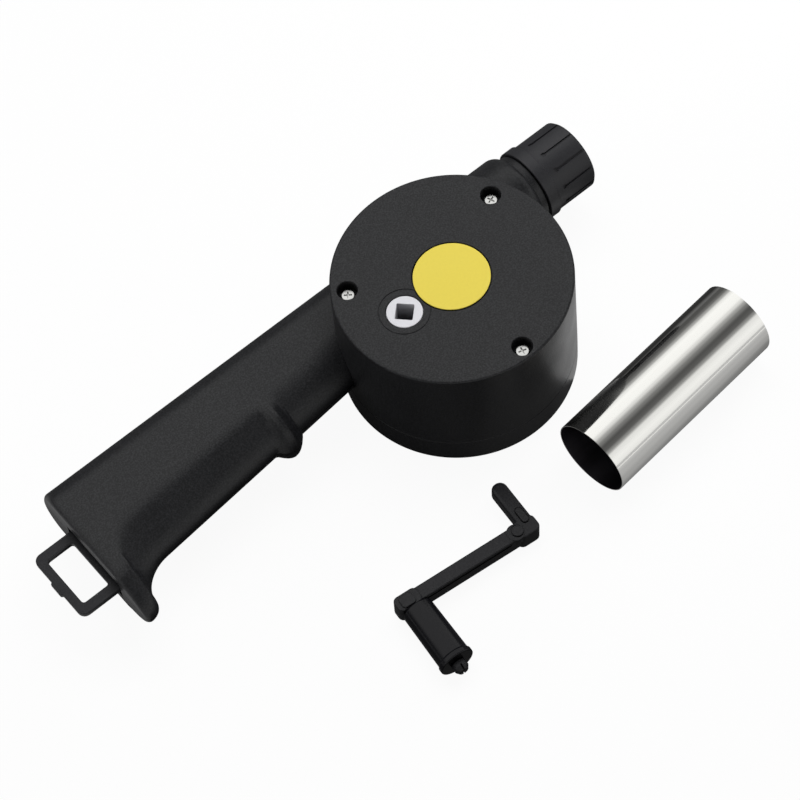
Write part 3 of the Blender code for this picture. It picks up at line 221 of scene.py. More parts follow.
def nodeMaker(tree):
    def make(kind, values=None, **settings):
        node = tree.nodes.new(kind)
        for key, value in settings.items():
            setattr(node, key, value)
        for key, value in (values or {}).items():
            if isinstance(value, bpy.types.NodeSocket):
                tree.links.new(value, node.inputs[key])
            else:
                node.inputs[key].default_value = value
        return node
    return make


def startGroup(name, inputs, outputs):
    group = bpy.data.node_groups.new(name, "ShaderNodeTree")
    for label, value in inputs.items():
        socket = group.interface.new_socket(name=label, in_out="INPUT", socket_type="NodeSocketFloat")
        socket.default_value = value
    for label in outputs:
        group.interface.new_socket(name=label, in_out="OUTPUT", socket_type="NodeSocketFloat")
    make = nodeMaker(group)
    return group, make, make("NodeGroupInput"), make("NodeGroupOutput")


def calc(make, operation, *values):
    # The result of a maths node.
    return make("ShaderNodeMath", dict(enumerate(values)), operation=operation).outputs["Value"]


def ranged(make, value, fromMin, fromMax, toMin=0.0, toMax=1.0):
    # A value carried from one range into another.
    values = {"Value": value, "From Min": fromMin, "From Max": fromMax, "To Min": toMin, "To Max": toMax}
    return make("ShaderNodeMapRange", values).outputs["Result"]


def mixed(make, factor, first, second):
    # Mixes two colours, each a socket or its red, green and blue.
    values = {"Factor": factor}
    for key, colour in ((6, first), (7, second)):
        values[key] = colour if isinstance(colour, bpy.types.NodeSocket) else (*colour, 1.0)
    return make("ShaderNodeMix", values, data_type="RGBA").outputs[2]


def mouldGrainGroup():
    # Fine pebbled grain of moulded plastic, with cloudy handling marks and a few scuffs.
    group, make, given, result = startGroup("mouldGrain", {"Scale": 2200.0, "Cloud": 45.0},
                                            ("Height", "Speckle", "Cloudiness", "Scuffs"))
    place = make("ShaderNodeTexCoord").outputs["Object"]
    fine = make("ShaderNodeTexNoise", {"Vector": place, "Scale": given.outputs["Scale"], "Detail": 2.0,
                                       "Roughness": 0.55}).outputs["Fac"]
    pebble = make("ShaderNodeTexVoronoi", {"Vector": place, "Scale": given.outputs["Scale"]},
                  feature="SMOOTH_F1")
    height = calc(make, "SUBTRACT", fine, pebble.outputs["Distance"])
    speckle = ranged(make, fine, 0.40, 0.66)
    cloud = make("ShaderNodeTexNoise", {"Vector": place, "Scale": given.outputs["Cloud"], "Detail": 4.0,
                                        "Roughness": 0.6}).outputs["Fac"]
    stretch = make("ShaderNodeMapping", {"Vector": place, "Rotation": (0.4, 0.2, 0.9),
                                         "Scale": (30.0, 900.0, 500.0)})
    scratch = make("ShaderNodeTexNoise", {"Vector": stretch.outputs["Vector"], "Scale": 1.0, "Detail": 3.0})
    thin = ranged(make, scratch.outputs["Fac"], 0.66, 0.76)
    patch = ranged(make, cloud, 0.52, 0.66)
    scuffs = calc(make, "MULTIPLY", thin, patch)
    found = {"Height": height, "Speckle": speckle, "Cloudiness": cloud, "Scuffs": scuffs}
    for label, socket in found.items():
        group.links.new(socket, result.inputs[label])
    return group


def brushedGroup():
    # Long fine streaks along X, and soft clouds over them.
    group, make, given, result = startGroup(
        "brushedStreaks", {"Fineness": 2600.0, "Along": 14.0, "Turn": 0.0}, ("Streaks", "Clouds"))
    place = make("ShaderNodeTexCoord").outputs["Object"]
    turned = make("ShaderNodeVectorRotate", {"Vector": place, "Angle": given.outputs["Turn"]},
                  rotation_type="Z_AXIS")
    fineness = given.outputs["Fineness"]
    scale = make("ShaderNodeCombineXYZ", {"X": given.outputs["Along"], "Y": fineness, "Z": fineness})
    stretched = make("ShaderNodeVectorMath", {0: turned.outputs["Vector"], 1: scale.outputs["Vector"]},
                     operation="MULTIPLY")
    streaks = make("ShaderNodeTexNoise", {"Vector": stretched.outputs["Vector"], "Scale": 1.0, "Detail": 3.0})
    clouds = make("ShaderNodeTexNoise", {"Vector": place, "Scale": 70.0, "Detail": 3.0})
    group.links.new(streaks.outputs["Fac"], result.inputs["Streaks"])
    group.links.new(clouds.outputs["Fac"], result.inputs["Clouds"])
    return group


mouldGrain = mouldGrainGroup()
brushedStreaks = brushedGroup()


def startMaterial(name):
    material = bpy.data.materials.new(name)
    material.use_nodes = True
    tree = material.node_tree
    return material, nodeMaker(tree), tree.nodes["Principled BSDF"], tree.links


def socketShade(make, base, socket):
    # Paints shade into a socket, darker from its rim down to its floor.
    split = make("ShaderNodeSeparateXYZ", {"Vector": make("ShaderNodeTexCoord").outputs["Object"]}).outputs
    flat = make("ShaderNodeCombineXYZ", {"X": split["X"], "Y": split["Y"]})
    middle = (socket["x"] * mm, socket["y"] * mm, 0.0)
    away = make("ShaderNodeVectorMath", {0: flat.outputs["Vector"], 1: middle}, operation="DISTANCE")
    near = calc(make, "LESS_THAN", away.outputs["Value"], socket["reach"] * mm)
    deep = ranged(make, split["Z"], socket["top"] * mm, socket["floor"] * mm)
    return mixed(make, calc(make, "MULTIPLY", near, deep), base, socket["paintedShadeColour"])


def finishSurface(make, shader, links, look, unevenness, span, height):
    # Gives a material its uneven roughness and its fine bump.
    middle, spread = look["roughness"], look["roughSpread"]
    links.new(ranged(make, unevenness, *span, middle - spread, middle + spread), shader.inputs["Roughness"])
    bump = make("ShaderNodeBump", {"Height": height, "Strength": look["bump"],
                                   "Distance": look["bumpDepth"] * mm})
    links.new(bump.outputs["Normal"], shader.inputs["Normal"])


def plasticMaterial(name, look):
    material, make, shader, links = startMaterial(name)
    grain = make("ShaderNodeGroup", {"Scale": look["grainScale"], "Cloud": look["cloudScale"]},
                 node_tree=mouldGrain).outputs
    dark = [channel * (1.0 - look["clouding"]) for channel in look["colour"]]
    light = [channel * (1.0 + look["clouding"]) for channel in look["colour"]]
    base = mixed(make, grain["Cloudiness"], dark, light)
    # A look with a socket gets painted shade down inside it.
    if "socket" in look:
        base = socketShade(make, base, look["socket"])
    sparkle = calc(make, "MULTIPLY", grain["Speckle"], look["speckle"])
    scuffed = calc(make, "MULTIPLY", grain["Scuffs"], look["scuffs"])
    marks = calc(make, "MAXIMUM", sparkle, scuffed)
    links.new(mixed(make, marks, base, look["markColour"]), shader.inputs["Base Color"])
    finishSurface(make, shader, links, look, grain["Cloudiness"], (0.3, 0.7), grain["Height"])
    shader.inputs["Specular IOR Level"].default_value = look["specular"]
    return material


def metalMaterial(name, look):
    material, make, shader, links = startMaterial(name)
    brushed = make("ShaderNodeGroup", {"Fineness": look["fineness"], "Along": look["along"],
                                       "Turn": math.radians(look["turn"])}, node_tree=brushedStreaks).outputs
    dark = [channel * (1.0 - look["tint"]) for channel in look["colour"]]
    links.new(mixed(make, brushed["Streaks"], dark, look["colour"]), shader.inputs["Base Color"])
    unevenness = calc(make, "ADD", brushed["Streaks"], brushed["Clouds"])
    finishSurface(make, shader, links, look, unevenness, (0.6, 1.4), brushed["Streaks"])
    shader.inputs["Metallic"].default_value = 1.0
    return material


housingLook = {
    "colour": (0.0085, 0.0087, 0.0096), "markColour": (0.029, 0.0295, 0.032), "roughness": 0.40,
    "roughSpread": 0.05, "specular": 0.31, "grainScale": 1500.0, "cloudScale": 38.0, "clouding": 0.10,
    "speckle": 0.62, "scuffs": 0.8, "bump": 0.7, "bumpDepth": 0.06,
}
collarLook = dict(housingLook, colour=(0.017, 0.017, 0.0195), roughness=0.48, specular=0.42, speckle=0.3,
                  bump=0.3)
crankLook = dict(housingLook, colour=(0.010, 0.010, 0.0115), roughness=0.38, specular=0.27, speckle=0.25,
                 bump=0.35)
gripLook = dict(housingLook, colour=(0.004, 0.004, 0.0055), roughness=0.25, specular=0.26, speckle=0.0,
                bump=0.12, scuffs=0.18)
loopLook = dict(housingLook, colour=(0.013, 0.013, 0.015), roughness=0.42, specular=0.28, speckle=0.3,
                bump=0.4)
impellerLook = dict(housingLook, colour=(0.040, 0.041, 0.045), markColour=(0.07, 0.07, 0.075), roughness=0.5)
plateLook = dict(housingLook, colour=(0.055, 0.055, 0.057), markColour=(0.09, 0.09, 0.095))
nylonLook = dict(housingLook, colour=(0.70, 0.70, 0.73), markColour=(0.50, 0.50, 0.53), roughness=0.38,
                 specular=0.42, clouding=0.03, speckle=0.06, scuffs=0.25, bump=0.10)
# The hub's socket gets painted shade, darker from its rim down to its floor.
hubPaintedShadeLook = dict(nylonLook, socket={"x": -25.0, "y": 0.0, "reach": 5.6, "top": 63.4, "floor": 50.0,
                                  "paintedShadeColour": (0.05, 0.048, 0.055)})
labelLook = dict(housingLook, colour=(0.77, 0.63, 0.088), markColour=(0.62, 0.50, 0.07), roughness=0.42,
                 clouding=0.02, speckle=0.10, scuffs=0.15, grainScale=900.0, bump=0.10)
tubeLook = {"colour": (0.88, 0.875, 0.85), "tint": 0.05, "roughness": 0.09, "roughSpread": 0.02,
            "fineness": 2600.0, "along": 9.0, "turn": -5.3, "bump": 0.10, "bumpDepth": 0.01}
# A darkened copy of the tube steel, painted shade inside the tube.
tubeInsideShadedLook = dict(tubeLook, colour=(0.13, 0.12, 0.14), tint=0.3, roughness=0.42, roughSpread=0.06)
screwLook = {"colour": (0.80, 0.80, 0.79), "tint": 0.25, "roughness": 0.24, "roughSpread": 0.06,
             "fineness": 1800.0, "along": 900.0, "turn": 0.0, "bump": 0.3, "bumpDepth": 0.02}
bronzeLook = dict(screwLook, colour=(0.45, 0.30, 0.14), roughness=0.4)

blackPlastic = plasticMaterial("black_plastic_grain", housingLook)
collarPlastic = plasticMaterial("collar_plastic_grain", collarLook)
crankPlastic = plasticMaterial("crank_plastic_grain", crankLook)
gripPlastic = plasticMaterial("grip_plastic_gloss", gripLook)
loopPlastic = plasticMaterial("loop_plastic_grain", loopLook)
impellerPlastic = plasticMaterial("impeller_plastic_grain", impellerLook)
platePlastic = plasticMaterial("plate_plastic_grain", plateLook)
whiteNylon = plasticMaterial("white_nylon_moulded", nylonLook)
hubNylonPaintedShade = plasticMaterial("hub_nylon_painted_socket_shade", hubPaintedShadeLook)
yellowLabel = plasticMaterial("yellow_label_film", labelLook)
tubeSteel = metalMaterial("tube_steel_polished", tubeLook)
tubeInsidePaintedShade = metalMaterial("tube_steel_inside_painted_shade", tubeInsideShadedLook)
screwSteel = metalMaterial("screw_steel_plated", screwLook)
bushBronze = metalMaterial("bush_bronze", bronzeLook)
print("materials ready")


# Handle

handle = {
    "length": 180.0, "level": 25.0, "thickness": 25.0, "width": 41.1, "widthPlace": 34.0, "taper": 5.65,
    "far": 49.6, "endEdge": 2.6, "farRound": 12.0, "nearGain": 4.2, "gap": 0.3,
    "above": {"round": 18.5, "power": 1.10, "step": (0.47, 0.76), "sharpen": 5.0},
    "below": {"round": 12.0, "power": 1.0, "step": (0.76, 1.0), "sharpen": 0.3},
    "gripStart": 87.5, "gripRun": 5.5, "gripStep": 1.3,
    "heelStart": 156.0, "heelRun": 16.0, "heelDrop": 12.3, "heelTip": 4.4,
    "stopPlace": 87.0, "stopHalf": 7.2, "stopHeight": 5.0,
    "sinkStart": 30.0, "sinkEnd": 5.0, "sinkDepth": 2.2,
    "arcPoints": 14, "rowStep": 1.5, "closeStart": 78.25, "closeRows": 12,
}
handleScrews = {
    "places": ((-72.0, 26.0), (-150.0, 22.0)), "hole": 1.8, "holeFoot": 24.0, "holeTop": 33.1,
    "well": 3.3, "wellDepth": 6.0, "mouth": 3.8, "flare": 4.6, "seat": 5.7, "length": 14.0,
}


def clamp(value):
    return min(1.0, max(0.0, value))


def ease(value):
    value = clamp(value)
    return value * value * (3.0 - 2.0 * value)


def stopShare(reach):
    return max(0.0, 1.0 - ((reach - handle["stopPlace"]) / handle["stopHalf"]) ** 2)


def nearSide(reach):
    h = handle
    line = h["far"] - h["width"] - math.tan(math.radians(h["taper"])) * (reach - h["widthPlace"])
    heel = h["heelDrop"] * (1.0 - math.sqrt(1.0 - clamp((reach - h["heelStart"]) / h["heelRun"]) ** 2))
    tipStart = h["heelStart"] + h["heelRun"]
    left = 1.0 - clamp((reach - tipStart) / (h["length"] - h["endEdge"] - tipStart))
    return line - heel - h["heelTip"] * math.sqrt(1.0 - left ** 2)


def farSide(reach):
    sink = max(0.0, handle["sinkStart"] - reach) / (handle["sinkStart"] - handle["sinkEnd"])
    return handle["far"] - handle["sinkDepth"] * sink ** 2


def nearQuarter(reach, inset, turns, look):
    # The near side of one section, from the flat down to the middle plane, as (y, height) points.
    h = handle
    half = 0.5 * h["thickness"] - inset
    share = clamp((reach - h["stopPlace"]) / (h["heelStart"] - h["stopPlace"]))
    width = look["round"] + h["nearGain"] * share - inset
    step = h["gripStep"] * ease((reach - h["gripStart"]) / h["gripRun"])
    first, last = look["step"]
    points = []
    for t in turns:
        depth = 1.0 - math.cos(t) ** look["power"]
        drop = step * (1.0 - ease((depth - first) / (last - first)))
        sharpen = 1.0 + look["sharpen"] * math.sin(t)  # makes the finger stop narrower higher up
        crest = h["stopHeight"] * stopShare(reach) ** sharpen
        lift = crest * (1.0 - math.sin(t) ** 6)
        points.append((nearSide(reach) + inset + width * depth - lift * math.cos(t),
                       (half - drop + lift) * math.sin(t) ** look["power"]))
    return points


def handleSection(reach, inset):
    # Points of one section, over the top from the far side to the near side and back below.
    h = handle
    half = 0.5 * h["thickness"] - inset
    farY = farSide(reach) - inset
    turns = [0.5 * math.pi * i / h["arcPoints"] for i in range(h["arcPoints"] + 1)]
    far = [(farY - (h["farRound"] - inset) * (1.0 - math.cos(t)), half * math.sin(t)) for t in turns]
    upper = far + nearQuarter(reach, inset, turns[::-1], h["above"])
    below = nearQuarter(reach, inset, turns[1:], h["below"])
    lower = [(y, -z) for y, z in below + far[:0:-1]]
    return [Vector((-reach, y, h["level"] + z)) * mm for y, z in upper + lower]


def handleStations():
    h = handle
    step, tip = h["rowStep"], h["heelStart"] + h["heelRun"]
    count = math.ceil((h["heelStart"] - h["sinkEnd"]) / step)
    places = [h["sinkEnd"] + step * i for i in range(count)]
    places += [h["closeStart"] + step * i for i in range(h["closeRows"])]  # closer over the finger stop
    places.sort()
    places += [h["heelStart"] + h["heelRun"] * math.sin(math.radians(4.5 * i)) for i in range(21)]
    run = h["length"] - h["endEdge"] - tip
    places += [tip + run * (1.0 - math.cos(math.radians(9.0 * i))) for i in range(1, 11)]
    return places


def handleBody():
    # Section loops along the handle, bridged one after another, with both ends closed.
    bm = bmesh.new()
    sections = [handleSection(reach, 0.0) for reach in handleStations()]
    for i in range(1, 8):
        turn = math.radians(90.0 * i / 7)
        reach = handle["length"] - handle["endEdge"] * (1.0 - math.sin(turn))
        sections.append(handleSection(reach, handle["endEdge"] * (1.0 - math.cos(turn))))
    loops = []
    for section in sections:
        verts = [bm.verts.new(point) for point in section]
        loops.append([bm.edges.new(pair) for pair in zip(verts, verts[1:] + verts[:1])])
    for first, second in zip(loops, loops[1:]):
        bmesh.ops.bridge_loops(bm, edges=first + second)
    bmesh.ops.holes_fill(bm, edges=loops[0] + loops[-1], sides=0)
    sides = [face for face in bm.faces if len(face.verts) == 4]
    bmesh.ops.triangulate(bm, faces=sides)  # flat faces cut cleanly
    bmesh.ops.recalc_face_normals(bm, faces=bm.faces[:])
    return bm


handleMesh = bpy.data.meshes.new("handle_whole")
wholeHandle = handleBody()
wholeHandle.to_mesh(handleMesh)
wholeHandle.free()
print("handle shaped", len(handleMesh.polygons))


def handleCopy():
    bm = bmesh.new()
    bm.from_mesh(handleMesh)
    return bm


# Hanging loop, needed first for its pocket

loop = {
    "width": 34.4, "reach": 18.7, "bar": 3.9, "side": 4.8, "thickness": 2.4, "corner": 3.4, "root": 1.9,
    "centre": 13.4, "tabLength": 8.4, "tabHeight": 0.9, "axisDepth": 2.5, "tail": 2.2, "pin": 1.3,
    "pinLength": 2.6, "edge": 0.45, "pocketHalf": 5.5, "pocketBack": 1.2,
}
loopAxisX = -handle["length"] + loop["axisDepth"]


def loopPocket():
    half = 0.5 * loop["width"] + handle["gap"]
    back = loopAxisX + loop["tail"] + loop["pocketBack"]
    return block((-handle["length"] - 1.0, loop["centre"] - half, handle["level"] - loop["pocketHalf"]),
                 (back, loop["centre"] + half, handle["level"] + loop["pocketHalf"]))


def rodAlongY(x, z, radius, low, high, steps=32):
    middle = Matrix.Translation((x * mm, 0.5 * (low + high) * mm, z * mm))
    bm = bmesh.new()
    bmesh.ops.create_cone(bm, cap_ends=True, segments=steps, radius1=radius * mm, radius2=radius * mm,
                          depth=(high - low) * mm, matrix=middle @ Matrix.Rotation(0.5 * math.pi, 4, "X"))
    return bm


def trunnionRoom():
    reach = 0.5 * loop["width"] + loop["pinLength"] + handle["gap"]
    return rodAlongY(loopAxisX, handle["level"], loop["pin"] + handle["gap"], loop["centre"] - reach,
                     loop["centre"] + reach)


def loopWindow(grow):
    # The opening of the loop, or a little more of it for its softened rims.
    half = 0.5 * loop["width"]
    return rectangle(-handle["length"] - loop["reach"] + loop["bar"] - grow,
                     loop["centre"] - half + loop["side"] - grow,
                     -handle["length"] - loop["root"] + grow,
                     loop["centre"] + half - loop["side"] + grow, 0.4 * loop["corner"] + grow)


def makeLoop():
    outerX = -handle["length"] - loop["reach"]
    half = 0.5 * loop["width"]
    low, high = handle["level"] - 0.5 * loop["thickness"], handle["level"] + 0.5 * loop["thickness"]
    frameOutline = rectangle(outerX, loop["centre"] - half, loopAxisX + loop["tail"], loop["centre"] + half,
                             loop["corner"])
    tabHalf = 0.5 * loop["tabLength"]
    tab = roundCorners([(outerX - loop["tabHeight"], loop["centre"] + tabHalf - 1.0, 0.5),
                        (outerX - loop["tabHeight"], loop["centre"] - tabHalf + 1.0, 0.5),
                        (outerX + 1.5, loop["centre"] - tabHalf - 1.0, 0.0),
                        (outerX + 1.5, loop["centre"] + tabHalf + 1.0, 0.0)], closed=True)
    reach = half + loop["pinLength"]
    bm = shaped(slab(frameOutline, low, high, loop["edge"]), [
        ("UNION", slab(tab, low + 0.1, high - 0.1, 0.3)),
        ("DIFFERENCE", slab(loopWindow(0.0), low - 1, high + 1)),
        ("DIFFERENCE", slab(loopWindow(loop["edge"]), high - 0.15, high + 1)),
        ("DIFFERENCE", slab(loopWindow(loop["edge"]), low - 1, low + 0.15)),
        ("UNION", rodAlongY(loopAxisX, handle["level"], loop["pin"], loop["centre"] - reach,
                            loop["centre"] + reach)),
    ])
    addPiece("hanging_loop_frame", bm, "loop", loopPlastic, ["hanging_loop"])


makeLoop()


# Drum and outlet neck

drum = {
    "radius": 50.0, "draft": 0.5, "height": 63.2, "wall": 2.3, "topPlate": 2.5, "rim": 0.9, "steps": 192,
    "coverHeight": 14.0, "gap": 0.3, "core": 48.9, "sideRows": 24,
}
bolts = {
    "circle": 43.0, "angles": (28.0, 145.4, 270.0), "centre": (-0.4, -0.9), "recess": 4.3, "cup": 5.2,
    "cupBottom": 55.2, "seat": 57.2, "hole": 1.8, "lip": 0.35, "flare": 0.45,
}
hub = {
    "x": -25.0, "y": 0.0, "radius": 7.5, "hole": 7.8, "lip": 0.25, "ring": 10.6, "ringWidth": 0.5,
    "ringDepth": 0.3,
}
label = {
    "radius": 15.9, "recess": 0.6, "gap": 0.3, "rimGap": 0.55, "rimDepth": 1.7, "thickness": 0.4,
    "edge": 0.12, "lip": 0.2,
}
neck = {
    "level": 27.3, "y": 31.0, "start": 15.0, "bore": 12.4, "shoulder": 19.0, "shoulderEnd": 57.5,
    "shoulderRound": 5.5, "radius": 16.1, "end": 65.4, "spigot": 14.6, "spigotLength": 13.0, "steps": 96,
}
insideMounts = {
    "plate": {"places": ((24.0, -14.0), (12.0, 30.0), (-33.0, -28.0)), "radius": 3.2, "foot": 43.3,
              "hole": 1.4, "holeFoot": 43.0, "holeTop": 50.8},
    "shaft": {"places": ((0.0, 0.0),), "radius": 5.2, "foot": 56.3, "hole": 3.9, "holeFoot": 50.0},
    "pin": {"places": ((-9.838, -16.488),), "radius": 4.4, "foot": 55.0, "hole": 2.3, "holeFoot": 54.0},
}
drumRoom = drum["radius"] + drum["draft"] + drum["gap"]
innerTop = drum["height"] - drum["topPlate"]


def boltPlaces():
    x, y = bolts["centre"]
    turns = [math.radians(angle) for angle in bolts["angles"]]
    return [(x + bolts["circle"] * math.cos(t), y + bolts["circle"] * math.sin(t)) for t in turns]


def drumShell():
    base = drum["radius"] + drum["draft"]
    top, inner = drum["height"], drum["radius"] - drum["wall"]
    foot = drum["coverHeight"] + drum["gap"]
    rimPath = roundCorners([(0.0, top, 0.0), (drum["radius"], top, drum["rim"]), (base, foot, 0.0)])
    sideTop = rimPath[-2]
    rows = [(sideTop[0] + (base - sideTop[0]) * i / drum["sideRows"],
             sideTop[1] + (foot - sideTop[1]) * i / drum["sideRows"]) for i in range(1, drum["sideRows"])]
    support = (rimPath[1][0] - 0.3, top)  # keeps the flat top's shading even
    path = [rimPath[0], support] + rimPath[1:-1] + rows + [(base, foot), (inner, foot), (inner, innerTop),
                                                         (0.0, innerTop)]
    return spun(path, drum["steps"])


def neckAxis():
    middle = Matrix.Translation((0.0, neck["y"] * mm, neck["level"] * mm))
    return middle @ Matrix.Rotation(0.5 * math.pi, 4, "Y")


def neckSkin():
    # A straight shoulder, rounded over into a slope down to the spigot that the collar sits on.
    n = neck
    tip = n["end"] + n["spigotLength"]
    centre = n["shoulder"] - n["shoulderRound"]
    turns = [math.radians(6.0 * i) for i in range(11)]
    arc = [(centre + n["shoulderRound"] * math.cos(t), n["shoulderEnd"] + n["shoulderRound"] * math.sin(t))
           for t in turns]
    rows = [(n["shoulder"], n["start"] + (n["shoulderEnd"] - n["start"]) * i / 20) for i in range(20)]
    foot = (n["radius"], n["end"] - 0.4)
    slope = [(arc[-1][0] + (foot[0] - arc[-1][0]) * i / 4, arc[-1][1] + (foot[1] - arc[-1][1]) * i / 4)
             for i in range(1, 4)]
    spigot = [(n["radius"] - 0.3, n["end"]), (n["spigot"], n["end"]), (n["spigot"], tip), (0.0, tip)]
    path = [(0.0, n["start"])] + rows + arc + slope + [foot] + spigot
    return spun(path, n["steps"], matrix=neckAxis())


def lippedHole(x, y, radius, bottom, lip, flare, steps=64):
    # A round cutter that widens at the top face, for a softened rim.
    top = drum["height"]
    path = [(0.0, top + 1.0), (radius + flare + 1.0, top + 1.0), (radius + flare, top),
            (radius + 0.3 * flare, top - 0.3 * lip), (radius, top - lip), (radius, bottom), (0.0, bottom)]
    return spun(path, steps, matrix=Matrix.Translation((x * mm, y * mm, 0.0)))


def makeHousing():
    top = drum["height"]
    core = [(0.0, 0.0, drum["core"], -1.0, top - 1.0)]
    front = shaped(handleCopy(), [("DIFFERENCE", layer(-20.0, handle["level"] + 0.5 * handle["gap"])),
                                  ("DIFFERENCE", pegs(core, drum["steps"]))])
    outlet = shaped(neckSkin(), [("DIFFERENCE", pegs(core, drum["steps"]))])
    room = [(0.0, 0.0, drumRoom, -1.0, drum["coverHeight"] + drum["gap"])]
    cups = [(x, y, bolts["cup"], bolts["cupBottom"], innerTop + 1.0) for x, y in boltPlaces()]
    mounts = [(x, y, mount) for mount in insideMounts.values() for x, y in mount["places"]]
    posts = [(x, y, mount["radius"], mount["foot"], innerTop + 1.0) for x, y, mount in mounts]
    holes = [(x, y, mount["hole"], mount["holeFoot"], mount.get("holeTop", innerTop))
             for x, y, mount in mounts]
    holes += [(x, y, handleScrews["hole"], handleScrews["holeFoot"], handleScrews["holeTop"])
              for x, y in handleScrews["places"]]
    tip = neck["end"] + neck["spigotLength"] + 1.0
    borePath = [(0.0, tip), (neck["bore"], tip), (neck["bore"], neck["start"]), (0.0, neck["start"])]
    bore = spun(borePath, neck["steps"], matrix=neckAxis())
    recesses = merged(*[lippedHole(x, y, bolts["recess"], bolts["seat"], bolts["lip"], bolts["flare"])
                        for x, y in boltPlaces()])
    shanks = [(x, y, bolts["hole"], bolts["cupBottom"] - 1.0, bolts["seat"] + 0.5) for x, y in boltPlaces()]
    hubHole = lippedHole(hub["x"], hub["y"], hub["hole"], innerTop - 1.0, hub["lip"], hub["lip"], 96)
    rim = label["radius"] + label["rimGap"]
    labelSeat = lippedHole(0.0, 0.0, rim, top - label["recess"], label["lip"], label["lip"], 128)
    rimGap = [(label["radius"], top + 1.0), (rim, top + 1.0), (rim, top - label["rimDepth"]),
              (label["radius"], top - label["rimDepth"])]
    ringFloor = top - hub["ringDepth"]
    ringPath = [(hub["ring"] - hub["ringWidth"], top + 0.5), (hub["ring"] + hub["ringWidth"], top + 0.5),
                (hub["ring"] + 0.3 * hub["ringWidth"], ringFloor),
                (hub["ring"] - 0.3 * hub["ringWidth"], ringFloor)]
    ring = spun(ringPath, 96, closed=True, matrix=Matrix.Translation((hub["x"] * mm, hub["y"] * mm, 0.0)))
    bm = shaped(drumShell(), [
        ("UNION", front), ("UNION", outlet), ("DIFFERENCE", pegs(room, drum["steps"])),
        ("UNION", pegs(cups)), ("UNION", pegs(posts, 32)), ("DIFFERENCE", bore),
        ("DIFFERENCE", ring), ("DIFFERENCE", recesses), ("DIFFERENCE", pegs(shanks, 24)),
        ("DIFFERENCE", pegs(holes, 24)), ("DIFFERENCE", hubHole), ("DIFFERENCE", labelSeat),
        ("DIFFERENCE", spun(rimGap, 128, closed=True)),
        ("DIFFERENCE", loopPocket()), ("DIFFERENCE", trunnionRoom()),
    ])
    addPiece("drum_and_handle_front", bm, "housing", blackPlastic, ["front_housing"], 26.0)


makeHousing()


def makeHandleBack():
    parting = handle["level"] - 0.5 * handle["gap"]
    bottom = handle["level"] - 0.5 * handle["thickness"]
    clear = [(0.0, 0.0, drumRoom, -1.0, drum["height"])]
    s = handleScrews
    floor = bottom + s["wellDepth"]
    wellPath = [(0.0, bottom - 1.0), (s["flare"], bottom - 1.0), (s["mouth"], bottom + 0.2),
                (s["well"], bottom + 0.6), (s["well"], floor), (0.0, floor)]
    wells = merged(*[spun(wellPath, 48, matrix=Matrix.Translation((x * mm, y * mm, 0.0)))
                     for x, y in s["places"]])
    holes = [(x, y, s["hole"], floor - 1.0, parting + 1.0) for x, y in s["places"]]
    bm = shaped(handleCopy(), [
        ("DIFFERENCE", layer(parting, 80.0)), ("DIFFERENCE", pegs(clear, drum["steps"])),
        ("DIFFERENCE", wells), ("DIFFERENCE", pegs(holes, 24)),
        ("DIFFERENCE", loopPocket()), ("DIFFERENCE", trunnionRoom()),
    ])
    addPiece("handle_back", bm, "housing", blackPlastic, ["handle_back_shell"], 26.0)


makeHandleBack()


# Back cover

cover = {
    "plate": 2.4, "edge": 1.4, "lip": 2.0, "lipWall": 1.5, "slots": 16, "slotWidth": 3.2, "slotInner": 15.0,
    "slotOuter": 33.0, "post": 3.4, "bossRadius": 6.4, "bossTop": 7.7, "bushHole": 4.3,
    "holeFoot": 43.9,
}


def slotOutline(degrees):
    half = 0.5 * cover["slotWidth"]
    turn = Matrix.Rotation(math.radians(degrees), 2)
    outline = rectangle(cover["slotInner"], -half, cover["slotOuter"], half, half * 0.98, 8)
    return [tuple(turn @ Vector(point)) for point in outline]


def makeCover():
    base = drum["radius"] + drum["draft"]
    lipOuter = drum["radius"] - drum["wall"] - drum["gap"]
    lipInner = lipOuter - cover["lipWall"]
    lipTop = drum["coverHeight"] + cover["lip"]
    path = roundCorners([
        (0.0, cover["plate"], 0.0), (lipInner, cover["plate"], 0.0), (lipInner, lipTop, 0.0),
        (lipOuter, lipTop, 0.0), (lipOuter, drum["coverHeight"], 0.0), (base, drum["coverHeight"], 0.35),
        (base, 0.0, cover["edge"]), (0.0, 0.0, 0.0),
    ])
    foot = 0.5 * cover["plate"]
    posts = [(x, y, cover["post"], foot, bolts["cupBottom"] - drum["gap"]) for x, y in boltPlaces()]
    boss = [(0.0, 0.0, cover["bossRadius"], foot, cover["bossTop"])]
    holes = [(x, y, bolts["hole"], cover["holeFoot"], bolts["cupBottom"] + 1.0) for x, y in boltPlaces()]
    holes.append((0.0, 0.0, cover["bushHole"], cover["plate"], cover["bossTop"] + 1.0))
    slots = [slab(slotOutline(360.0 * i / cover["slots"]), -1.0, cover["plate"] + 1.0)
             for i in range(cover["slots"])]
    bm = shaped(spun(path, drum["steps"]), [("UNION", pegs(posts)), ("UNION", pegs(boss)),
                                            ("DIFFERENCE", pegs(holes, 32)), ("DIFFERENCE", merged(*slots))])
    addPiece("intake_cover", bm, "housing", blackPlastic, ["back_cover"])


makeCover()


# Collar that the tube slides over

collar = {
    "flangeRadius": 17.2, "flangeLength": 5.4, "radius": 16.4, "length": 26.2, "lip": 1.2, "step": 0.4,
    "band": 3.4, "grooves": 12, "phase": 4.0, "grooveWidth": 1.1, "grooveDepth": 0.9, "notchWidth": 1.9,
    "notchLength": 1.6, "gap": 0.3,
}


def grooveCutter(start, end):
    # One long groove with a wider notch where it starts.
    line = slab(rectangle(-collar["grooveDepth"], -0.5 * collar["grooveWidth"], 2.0,
                          0.5 * collar["grooveWidth"], 0.3), start, end)
    notch = slab(rectangle(-collar["grooveDepth"] * 0.9, -0.5 * collar["notchWidth"], 2.0,
                           0.5 * collar["notchWidth"], 0.3), start, start + collar["notchLength"])
    return shaped(line, [("UNION", notch)])


